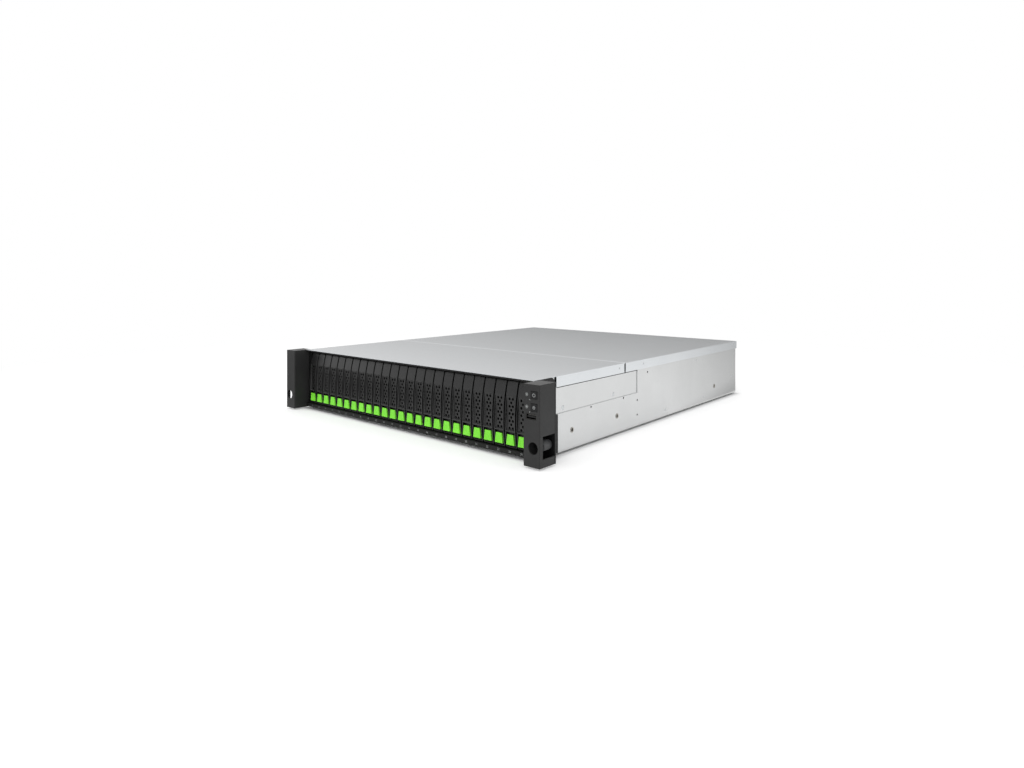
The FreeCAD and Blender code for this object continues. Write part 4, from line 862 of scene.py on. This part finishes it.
front = [(bow(z), z) for z in heights(LEVER_BOTTOM, LEVER_TOP, 24)]
back = [(max(bow(z, BOW_RADIUS - WALL), LEVER_BACK), z) for z in heights(LEVER_TOP, BACK_TURN, 8)]
lever_blank = pushed("lever", front + back + [(LEVER_BACK, LEVER_BOTTOM)], "X", -HALF_TRAY, HALF_TRAY)
print("lever outline:", len(front) + len(back) + 1, "points")

# %% A tree that sinks the panel and pierces it
grille_tree, given = new_tree("pierced_panel", {
    "Lever": "Geometry", "Panel cutter": "Object", "Hole radius": "Float", "Top row": "Float",
    "Row pitch": "Float", "Column pitch": "Float", "Double rows": "Int", "Material": "Material"})


def hole_row(count, x, start_drop):
    """A column of holes: a line of points two row pitches apart."""
    drop = add(grille_tree, "ShaderNodeMath", {0: given["Row pitch"], 1: start_drop}, operation="MULTIPLY")
    top = add(grille_tree, "ShaderNodeMath", {0: given["Top row"], 1: drop.outputs[0]}, operation="SUBTRACT")
    start = add(grille_tree, "ShaderNodeCombineXYZ", {"X": x, "Z": top.outputs[0]}).outputs[0]
    twice = add(grille_tree, "ShaderNodeMath", {0: given["Row pitch"], 1: -2.0}, operation="MULTIPLY")
    step = add(grille_tree, "ShaderNodeCombineXYZ", {"Z": twice.outputs[0]}).outputs[0]
    return add(grille_tree, "GeometryNodeMeshLine",
               {"Count": count, "Start Location": start, "Offset": step}).outputs[0]


columns = []
for half in (0.5, -0.5):
    side = add(grille_tree, "ShaderNodeMath", {0: given["Column pitch"], 1: half}, operation="MULTIPLY")
    columns.append(hole_row(given["Double rows"], side.outputs[0], 0.0))
single_rows = add(grille_tree, "ShaderNodeMath", {0: given["Double rows"], 1: 1.0}, operation="SUBTRACT")
columns.append(hole_row(single_rows.outputs[0], 0.0, 1.0))
centres = add(grille_tree, "GeometryNodeJoinGeometry", {0: columns}).outputs[0]
drill = add(grille_tree, "GeometryNodeMeshCylinder",
            {"Vertices": 20, "Radius": given["Hole radius"], "Depth": 30 * MM}).outputs[0]
drills = add(grille_tree, "GeometryNodeInstanceOnPoints",
             {"Points": centres, "Instance": drill, "Rotation": (math.pi / 2, 0, 0)}).outputs[0]
real = add(grille_tree, "GeometryNodeRealizeInstances", {0: drills}).outputs[0]
panel = add(grille_tree, "GeometryNodeObjectInfo", {"Object": given["Panel cutter"]}).outputs["Geometry"]
cut = given["Lever"]
for cutter in (panel, real):
    cut = add(grille_tree, "GeometryNodeMeshBoolean", {0: cut, 1: cutter},
              operation="DIFFERENCE", solver="EXACT").outputs[0]
painted_out(grille_tree, cut, given["Material"])
print("pierced panel tree:", len(grille_tree.nodes), "nodes")

# %% The finished lever
PANEL = [(-6.2, 28.6), (6.2, 28.6), (6.2, 66.5), (3.2, 66.5),
         (2.6, 64.8), (-2.6, 64.8), (-3.2, 66.5), (-6.2, 66.5)]
PIVOT_DEPTH, PIVOT_HEIGHT = 3.0, 79.6
BARREL = [(-5.9, 1.2), (-5.9, 2.3), (-5.5, 2.7), (5.5, 2.7), (5.9, 2.3), (5.9, 1.2)]
pocket = block("pocket", (-5.4, SHEET_FRONT + 0.9, 29.4), (5.4, 0.0, 65.6))
panel_tool = blank_of(joined("panel", pushed("panel", PANEL, "Y", -12.0, SHEET_FRONT), pocket))
lever_mesh = worked(blank_of(rounded(lever_blank, 0.5, 3, 40, True)), grille_tree, {
    "Panel cutter": panel_tool, "Hole radius": 1.6 * MM, "Top row": 63.1 * MM, "Row pitch": 4.09 * MM,
    "Column pitch": 4.7 * MM, "Double rows": 5, "Material": tray_abs})
bpy.data.objects.remove(panel_tool)
barrel = turned("barrel", BARREL, "X", (PIVOT_DEPTH, PIVOT_HEIGHT), 24)
web = block("web", (-5.0, -0.6, PIVOT_HEIGHT - 2.0), (5.0, PIVOT_DEPTH - 1.4, PIVOT_HEIGHT + 1.6))
lever_mesh = joined("lever", rounded(lever_mesh, 0.15, 1, 45, True),
                    rounded(joined("hinge", barrel, web), 0.15, 2, 50, True))
# A near-black block behind each grille: painted shadow inside the holes
hole_shadow_mesh = rounded(block("hole_shadow_block", (-5.3, SHEET_FRONT + 1.0, 29.5), (5.3, LEVER_BACK - 0.1, 65.5)), 0.2)
print("lever:", len(lever_mesh.polygons), "faces")

# %% [markdown]
# ## Green latch
# The latch is a finger pad that a thumb pushes down. It widens towards its foot and is dished so that the
# thumb finds it. The copy of the frame's latch gives the side view. Its sides are drawn in a little more
# towards the top, and the dish is sunk: the front face is inset, cut into a grid, and hollowed by a rule.

# %% Latch
RIM, DISH, DISH_CUTS = 0.8, 0.7, 8


def dished(mesh):
    """The mesh with a smooth shallow dish sunk in the face that looks to the front."""
    work = bmesh.new()
    work.from_mesh(mesh)
    front = max(work.faces, key=lambda face: -face.normal.y * face.calc_area())
    bmesh.ops.inset_region(work, faces=[front], thickness=RIM * MM, depth=0.0, use_even_offset=True)
    rim = [vert.co.copy() for vert in front.verts]
    low, high = min(place.z for place in rim), max(place.z for place in rim)
    foot_half, head_half = (max(abs(p.x) for p in rim if abs(p.z - end) < 0.1 * MM) for end in (low, high))
    made = bmesh.ops.subdivide_edges(work, edges=front.edges[:], cuts=DISH_CUTS, use_grid_fill=True)
    for vert in [item for item in made["geom_inner"] if isinstance(item, bmesh.types.BMVert)]:
        up = (vert.co.z - low) / (high - low)
        across = vert.co.x / (foot_half + (head_half - foot_half) * up)
        vert.co.y += DISH * MM * max(0.0, 1 - across ** 2) * 4 * up * (1 - up)
    return meshed(work, "latch")


latch_blank = solids("tray_13_latch")[0]
LATCH_FOOT, LATCH_HEAD, PAD_BACK = 12.0, 24.6, -1.5
NARROWED, LOWERED = 0.16, 1.0
for vert in latch_blank.vertices:
    rise = max(0.0, (vert.co.z / MM - LATCH_FOOT) / (LATCH_HEAD - LATCH_FOOT))
    if vert.co.y < PAD_BACK * MM:
        vert.co.x *= 1 - NARROWED * rise
        vert.co.z -= LOWERED * rise * MM
latch_mesh = rounded(dished(latch_blank), 0.4, 3, 40, True)
print("latch:", len(latch_mesh.polygons), "faces")

# %% [markdown]
# ## Carrier and drive
# Behind the lever is a plastic carrier with rails above and below a 2.5 inch drive. The drive shows only
# when a tray is pulled out: a cast base, a screwed steel cover on one face, a board on the other, and its
# connector at the back. The carrier is copied from the frame and the drive is drawn.

# %% Carrier and drive forms
def soft_rectangle(centre, width, tall, corner, steps=4):
    """The outline of a rectangle with round corners."""
    outline = []
    for quarter, (a, b) in enumerate(((1, 1), (-1, 1), (-1, -1), (1, -1))):
        middle = (centre[0] + a * (width / 2 - corner), centre[1] + b * (tall / 2 - corner))
        for k in range(steps + 1):
            angle = math.pi / 2 * (quarter + k / steps)
            outline.append((middle[0] + corner * math.cos(angle), middle[1] + corner * math.sin(angle)))
    return outline


carrier_mesh = rounded(solids("tray_13")[0], 0.2)
DRIVE_FRONT, DRIVE_REAR, DRIVE_LOW, DRIVE_HIGH = 24.0, 124.4, 11.55, 81.3
drive_base = rounded(block("drive", (-7.0, DRIVE_FRONT, DRIVE_LOW), (6.7, DRIVE_REAR, DRIVE_HIGH)), 0.8, 3)
middle_y, middle_z = (DRIVE_FRONT + DRIVE_REAR) / 2, (DRIVE_LOW + DRIVE_HIGH) / 2
cover_mesh = rounded(pushed("cover", soft_rectangle((middle_y, middle_z), 92, 63, 5), "X", 6.5, 7.2), 0.2)
board_mesh = rounded(block("board", (-7.35, DRIVE_REAR - 48, DRIVE_LOW + 3),
                           (-6.9, DRIVE_REAR - 3, DRIVE_HIGH - 3)), 0.1)
plug_mesh = rounded(block("plug", (-6.8, DRIVE_REAR - 6, DRIVE_LOW + 4),
                          (-2.2, DRIVE_REAR, DRIVE_LOW + 46)), 0.2)
COVER_SCREWS = [(middle_y + along, middle_z + b * 28) for along in (42, -42, -4) for b in both_sides]
COVER_SEAT, drive_screw = 7.15, screw_shape(1.3, 0.18)
print("carrier:", len(carrier_mesh.polygons), "faces")

# %% The twenty-five trays
def moved(mesh, x):
    """A copy of a mesh, moved across the front."""
    copy = mesh.copy()
    copy.transform(Matrix.Translation((x * MM, 0, 0)))
    return copy


for number in range(1, BAYS + 1):
    tray, x = "tray_%02d" % number, tray_middle(number)
    lever, latch = tray + "_lever", tray + "_latch"
    own_bodies = lever in frame["bodies"]
    lever_body, latch_body = (lever, latch) if own_bodies else (tray, tray)
    hang(tray + "_carrier", moved(carrier_mesh, x), tray_abs, tray, [tray], "tray_plastic")
    hang(tray + "_drive", moved(drive_base, x), cast_aluminium, tray, slot="tray_alloy")
    hang(tray + "_drive_cover", moved(cover_mesh, x), module_steel, tray)
    hang(tray + "_drive_board", moved(board_mesh, x), solder_mask, tray)
    hang(tray + "_drive_plug", moved(plug_mesh, x), pbt, tray)
    hang(tray + "_lever_shown", moved(lever_mesh, x), tray_abs, lever_body,
         [lever] if own_bodies else (), "tray_plastic")
    # Painted shadow behind the grille holes
    hang(tray + "_filter", moved(hole_shadow_mesh, x), hole_shadow_black, lever_body)
    hang(tray + "_latch_shown", moved(latch_mesh, x), latch_pom, latch_body,
         [latch] if own_bodies else (), "latch_green")
    fasten(tray + "_drive_screws", drive_screw,
           [((x + COVER_SEAT, y, z), (1, 0, 0)) for y, z in COVER_SCREWS], nickel_plate, tray)
print("trays:", BAYS)

# %% [markdown]
# ## Rack ears
# Each ear is a bracket bent from steel, coated black, and a moulded cover that hides the captive screw. The
# right cover carries two buttons, small lights and a USB socket. The covers and brackets are copies with
# rounded edges, because their forms are right in the frame.

# %% Brackets and covers
def on_rim(mesh):
    """A rule that picks the edges along the rim of a mesh's box."""
    ends = [(min(places), max(places)) for places in zip(*[vert.co for vert in mesh.vertices])]

    def rule(edge):
        first, second = (vert.co for vert in edge.verts)
        held = [any(abs(first[axis] - end) + abs(second[axis] - end) < 0.02 * MM for end in ends[axis])
                for axis in range(3)]
        return 1.0 if sum(held) > 1 else 0.0

    return rule


BRACKET_FACE, BRACKET_SCREWS = 220.5, [(24.0, 12.0), (24.0, 40.0), (24.0, 66.0)]
bracket_screw = screw_shape(2.2, 0.5)
for hand, sign in HANDS:
    dress(hand + "_rack_bracket", powder_coat, "chassis", 0.3, "bracket_steel")
    cover = solids(hand + "_ear_cover")[0]
    hang(hand + "_ear_cover_shown", rounded(cover, 0.6, 3, rule=on_rim(cover)), ear_abs, "chassis",
         [hand + "_ear_cover"], "ear_plastic")
    fasten(hand + "_bracket_screws", bracket_screw,
           [((sign * BRACKET_FACE, y, z), (sign, 0, 0)) for y, z in BRACKET_SCREWS], powder_coat, "chassis")
print("ears:", len(HANDS), "with", len(BRACKET_SCREWS), "bracket screws each")

# %% [markdown]
# ## Captive thumbscrews
# A captive screw has a knurled knob that fingers can turn and a threaded shank that bites the rack rail.
# The knurl is a wave on the radius of a turned profile, and the thread is the same idea with the wave
# climbing as it goes round.

# %% Thumbscrews
KNURLS, KNURL_DEPTH = 30, 0.35
SCREW_HEIGHT, SCREW_SIDE = 20.7, 232.55
KNOB = [(-13.5, 4.9), (-12.6, 5.8), (-12.1, 5.95), (-1.7, 5.95), (-1.2, 5.8), (-0.4, 4.9), (0.2, 4.9)]


def knob_form(x):
    """A knurled knob with a driver slot in its face."""
    def wave(step, k):
        return -KNURL_DEPTH if k % 2 and 1 <= step <= 4 else 0.0

    knob = turned("knob", KNOB, "Y", (x, SCREW_HEIGHT), 2 * KNURLS, wave)
    return cut_from(knob, block("slot", (x - 4.0, -14.0, SCREW_HEIGHT - 0.5),
                                (x + 4.0, -11.9, SCREW_HEIGHT + 0.5)))


THREAD_PITCH, THREAD_DEPTH, THREAD_COUNT = 0.8, 0.22, 24
NECK_END, TAPER_START, THREAD_END = 3.0, 10.5, 11.5


def thread_form(x):
    """A threaded shank behind a plain neck, with a pointed end."""
    steps = [0.1 + 0.1 * k for k in range(125)]
    profile = [(y, 2.05 if y < NECK_END else 2.25 - 0.35 * max(y - TAPER_START, 0.0)) for y in steps]

    def wave(step, k):
        phase = (steps[step] / THREAD_PITCH + k / THREAD_COUNT) % 1.0
        return THREAD_DEPTH * (1 - 2 * abs(phase - 0.5)) if NECK_END < steps[step] < THREAD_END else 0.0

    return turned("thread", profile, "Y", (x, SCREW_HEIGHT), THREAD_COUNT, wave)


for hand, sign in HANDS:
    body, x = hand + "_thumbscrew", sign * SCREW_SIDE
    hang(body + "_knob", rounded(knob_form(x), 0.1, 1, 50), anodised, body, [body], "screw_steel")
    hang(body + "_shank", rounded(thread_form(x), 0.02, 1, 80), nickel_plate, body)
print("thumbscrews:", KNURLS, "knurls each")

# %% [markdown]
# ## Buttons, lights and socket
# The buttons are flat moulded caps with a printed mark, the power mark on the upper one; two printed rings
# stand beside them. The lights are clear pipes that end flush with the cover. The socket is a plated shell
# with a black tongue and four contacts. Marks are drawn as flat rings and bars, a few hundredths of a
# millimetre thick.

# %% Buttons and marks
EAR_FACE, BUTTON_FACE = -26.7, -27.06
BUTTON_SIDE, POWER_HEIGHT, LOCATE_HEIGHT = 234.0, 76.6, 63.6


def arc(centre, radius, turns):
    """Points round a centre at those angles in degrees."""
    angles = [math.radians(turn) for turn in turns]
    return [(centre[0] + radius * math.cos(a), centre[1] + radius * math.sin(a)) for a in angles]


def printed(name, outline, face):
    """A flat mark that stands a hair proud of the face it is printed on."""
    return pushed(name, outline, "Y", face - 0.03, face + 0.02)


def ring_mark(centre, radius, width, face, gap):
    """A printed ring, open at the top by a gap in degrees."""
    turns = heights(90 + gap / 2, 450 - gap / 2, 40)
    return printed("ring", arc(centre, radius, turns) + arc(centre, radius - width, turns[::-1]), face)


def bar_mark(centre, width, tall, face):
    """A printed bar."""
    return printed("bar", soft_rectangle(centre, width, tall, min(width, tall) * 0.3), face)


CLOSED = 0.5
for node, z in (("power_button", POWER_HEIGHT), ("locate_button", LOCATE_HEIGHT)):
    cap = pushed("cap", soft_rectangle((BUTTON_SIDE, z), 8.2, 8.0, 0.8), "Y", BUTTON_FACE, -21.0)
    hang(node + "_cap", rounded(cap, 0.35, 3, 50), pbt, node, [node], "button_plastic")
power = joined("power", ring_mark((BUTTON_SIDE, POWER_HEIGHT), 2.0, 0.55, BUTTON_FACE, 70),
               bar_mark((BUTTON_SIDE, POWER_HEIGHT + 1.4), 0.55, 1.9, BUTTON_FACE))
locate = joined("locate", ring_mark((BUTTON_SIDE, LOCATE_HEIGHT), 1.7, 0.45, BUTTON_FACE, CLOSED),
                bar_mark((BUTTON_SIDE, LOCATE_HEIGHT), 1.2, 1.2, BUTTON_FACE))
ICON_SIDE = 224.3
icons = [ring_mark((ICON_SIDE, z), 1.8, 0.28, EAR_FACE, CLOSED) for z in (POWER_HEIGHT, LOCATE_HEIGHT)]
hang("ear_marks", joined("icons", *icons), print_ink, "chassis")
hang("power_button_mark", power, print_ink, "power_button")
hang("locate_button_mark", locate, print_ink, "locate_button")
print("marks:", 2 + len(icons))

# %% Lights and socket
def dress_all(node, material, body, width, slot):
    """Show a node of several solids as one piece of rounded copies."""
    copies = [rounded(mesh, width) for mesh in solids(node)]
    hang(node + "_shown", joined(node, *copies), material, body, [node], slot)
    print(node, len(copies), "solids")


dress_all("status_lights", light_pipe, "chassis", 0.1, "light_pipe")
USB_SIDE, USB_HEIGHT = 230.1, 53.7
dress("usb_socket", black_nickel, "chassis", 0.1, "plated_steel")
tongue = block("tongue", (USB_SIDE - 5.3, -26.0, USB_HEIGHT - 0.95),
               (USB_SIDE + 5.3, -14.0, USB_HEIGHT + 0.95))
hang("usb_tongue", rounded(tongue, 0.2), pbt, "chassis")
CONTACT_PITCH = 2.5
contacts = [USB_SIDE + k * CONTACT_PITCH for k in (-1.5, -0.5, 0.5, 1.5)]
strips = [block("strip", (x - 0.5, -25.4, USB_HEIGHT - 1.05), (x + 0.5, -15.0, USB_HEIGHT - 0.93))
          for x in contacts]
hang("usb_contacts", joined("usb_contacts", *strips), contact_gold, "chassis")
print("socket:", len(strips), "contacts")

# %% [markdown]
# ## Inside the chassis
# Guides, the midplane board and its sockets show when a tray is out. They are copies with eased edges.

# %% Guides, board and sockets
dress_all("bay_guides", pbt, "chassis", 0.15, "front_black")
dress("midplane_board", solder_mask, "chassis", 0.1, "board_green")
dress_all("drive_sockets", pbt, "chassis", 0.2, "front_black")
print("inside dressed: guides, board and sockets")

# %% [markdown]
# ## Controllers
# A controller is a plated steel tray with a row of cages for data plugs, two network sockets and a slotted
# vent, a board inside, and a plastic cam lever that pulls it home.

# %% Controllers and their levers
for hand in ("a", "b"):
    body = "controller_" + hand
    parts = solids(body)
    hang(body + "_case", rounded(parts[0], 0.15), module_steel, body, [body], "module_steel")
    hang(body + "_board", rounded(parts[1], 0.15), solder_mask, body, slot="board_green")
    hang(body + "_ports", joined("ports", *parts[2:]), nickel_plate, body, slot="plated_steel")
    dress(body + "_lever", lever_pc, body + "_lever", 0.8, "lever_plastic")
    print(body, len(parts), "shells")

# %% [markdown]
# What makes a port look like a port is what sits in it: a springy rim and a card-edge connector in a data
# cage, and a black insert with eight gilded wires in a network jack. They are small blocks, listed by the
# middle of each port, so both controllers share one recipe with their own height. A pair of pin-head lights
# under each port and a few screws finish the plate.

# %% What sits in the ports
REAR_FACE, PORT_FLOOR = 562.0, 551.0
CONTROLLER_FOOT = {"a": 44.9, "b": 1.5}
PORT_FOOT, LIGHT_FOOT = 8.5, 4.4
DATA_PORTS = [-95.6 + 17.5 * k for k in range(4)]
NETWORK_PORTS = [-18.4, -1.4]
LIGHT_COLUMN = [(19.0, 14.0), (19.0, 19.0), (19.0, 24.0)]
PLATE_SCREWS = [(-108.3, 5.5), (-108.3, 36.0), (19.0, 5.5), (108.3, 5.5)]


def on_rear(spots, foot=0.0):
    """Places at those (x, z) spots on the rear face, above a foot, facing backwards."""
    return [((x, REAR_FACE, foot + z), (0, 1, 0)) for x, z in spots]


def rim_bars(x, z, width, tall, bar, out):
    """Four bars round the mouth of a port, proud of the rear face."""
    half = width / 2
    low, high = (REAR_FACE - 0.2, REAR_FACE + out)
    return [block("rim", (x - half - bar, low, z - bar), (x + half + bar, high, z)),
            block("rim", (x - half - bar, low, z + tall), (x + half + bar, high, z + tall + bar)),
            block("rim", (x - half - bar, low, z), (x - half, high, z + tall)),
            block("rim", (x + half, low, z), (x + half + bar, high, z + tall))]


JACK_HALF, CHEEK_HALF, NOTCH_HALF = 6.25, 5.6, 2.0
JACK_TALL, LEDGE_TALL, JACK_MOUTH = 11.2, 2.6, REAR_FACE - 0.3


def jack_insert(x, z):
    """The black insert of a network jack: two cheeks, a ledge with a notch, and a back."""
    bars = [(-JACK_HALF, -CHEEK_HALF, JACK_TALL), (CHEEK_HALF, JACK_HALF, JACK_TALL),
            (-CHEEK_HALF, -NOTCH_HALF, LEDGE_TALL), (NOTCH_HALF, CHEEK_HALF, LEDGE_TALL)]
    back = block("back", (x - CHEEK_HALF, PORT_FLOOR, z), (x + CHEEK_HALF, PORT_FLOOR + 0.8, z + JACK_TALL))
    return [block("bar", (x + left, PORT_FLOOR, z), (x + right, JACK_MOUTH, z + tall))
            for left, right, tall in bars] + [back]


plate_screw = screw_shape(2.3, 0.9)
for hand, foot in CONTROLLER_FOOT.items():
    body, z = "controller_" + hand, foot + PORT_FOOT
    rims = [bar for x in DATA_PORTS for bar in rim_bars(x, z, 14.2, 9.2, 0.55, 0.5)]
    hang(body + "_cage_rims", rounded(joined("rims", *rims), 0.12, 1), nickel_plate, body)
    inserts = [part for x in NETWORK_PORTS for part in jack_insert(x, z)]
    inserts += [block("edge", (x - 4.6, PORT_FLOOR, z + 2.2), (x + 4.6, PORT_FLOOR + 5.5, z + 5.0))
                for x in DATA_PORTS]
    hang(body + "_inserts", rounded(joined("inserts", *inserts), 0.12, 1), pbt, body)
    wires = [block("wire", (x - 3.8 + k, PORT_FLOOR + 0.8, z + 9.6), (x - 3.4 + k, REAR_FACE - 2.0, z + 10.0))
             for x in NETWORK_PORTS for k in range(8)]
    hang(body + "_wires", joined("wires", *wires), contact_gold, body)
    pairs = [(x + side * 3.2, LIGHT_FOOT) for x in DATA_PORTS + NETWORK_PORTS for side in both_sides]
    fasten(body + "_lights", rivet_shape(0.8, 0.25), on_rear(pairs + LIGHT_COLUMN, foot), light_pipe, body)
    fasten(body + "_plate_screws", plate_screw, on_rear(PLATE_SCREWS, foot), nickel_plate, body)
print("ports filled on", len(CONTROLLER_FOOT), "controllers")

# %% [markdown]
# ## Power supplies
# Each supply is a plated case with a mains inlet, a fan behind a slotted plate, and a wire bail to pull it.
# The frame's solids are right, so they are copied; screws at the fan's corners and on the plate, and two
# lights beside the inlet, are added.

# %% Power supplies, handles and fans
SUPPLY_LEFT = {"a": 114.5, "b": -215.4}
FAN_SIDE, FAN_HEIGHT, FAN_SCREW = 34.0, 51.5, 25.0
supply_screw = screw_shape(2.2, 0.9)
for hand, left in SUPPLY_LEFT.items():
    body = "power_supply_" + hand
    for k, mesh in enumerate(solids(body)):
        material, slot = (module_steel, "module_steel") if k == 0 else (pbt, "fan_plastic")
        hang("%s_part_%d" % (body, k), rounded(mesh, 0.15), material, body, [body] if k == 0 else (), slot)
    dress(body + "_handle", powder_coat, body + "_handle", 0.8, "handle_steel")
    dress(body + "_fan", pbt, body + "_fan", 0.15, "fan_plastic")
    fan_corners = [(left + FAN_SIDE + a * FAN_SCREW, FAN_HEIGHT + b * FAN_SCREW)
                   for a in both_sides for b in both_sides]
    plate_corners = [(left + 4.5, 5.8), (left + 4.5, 82.2), (left + 96.4, 5.8)]
    fasten(body + "_screws", supply_screw, on_rear(fan_corners + plate_corners), nickel_plate, body)
    fasten(body + "_lights", rivet_shape(1.0, 0.3), on_rear([(left + 64.5, 14.0), (left + 64.5, 19.0)]),
           light_pipe, body)
print("supplies:", len(SUPPLY_LEFT))
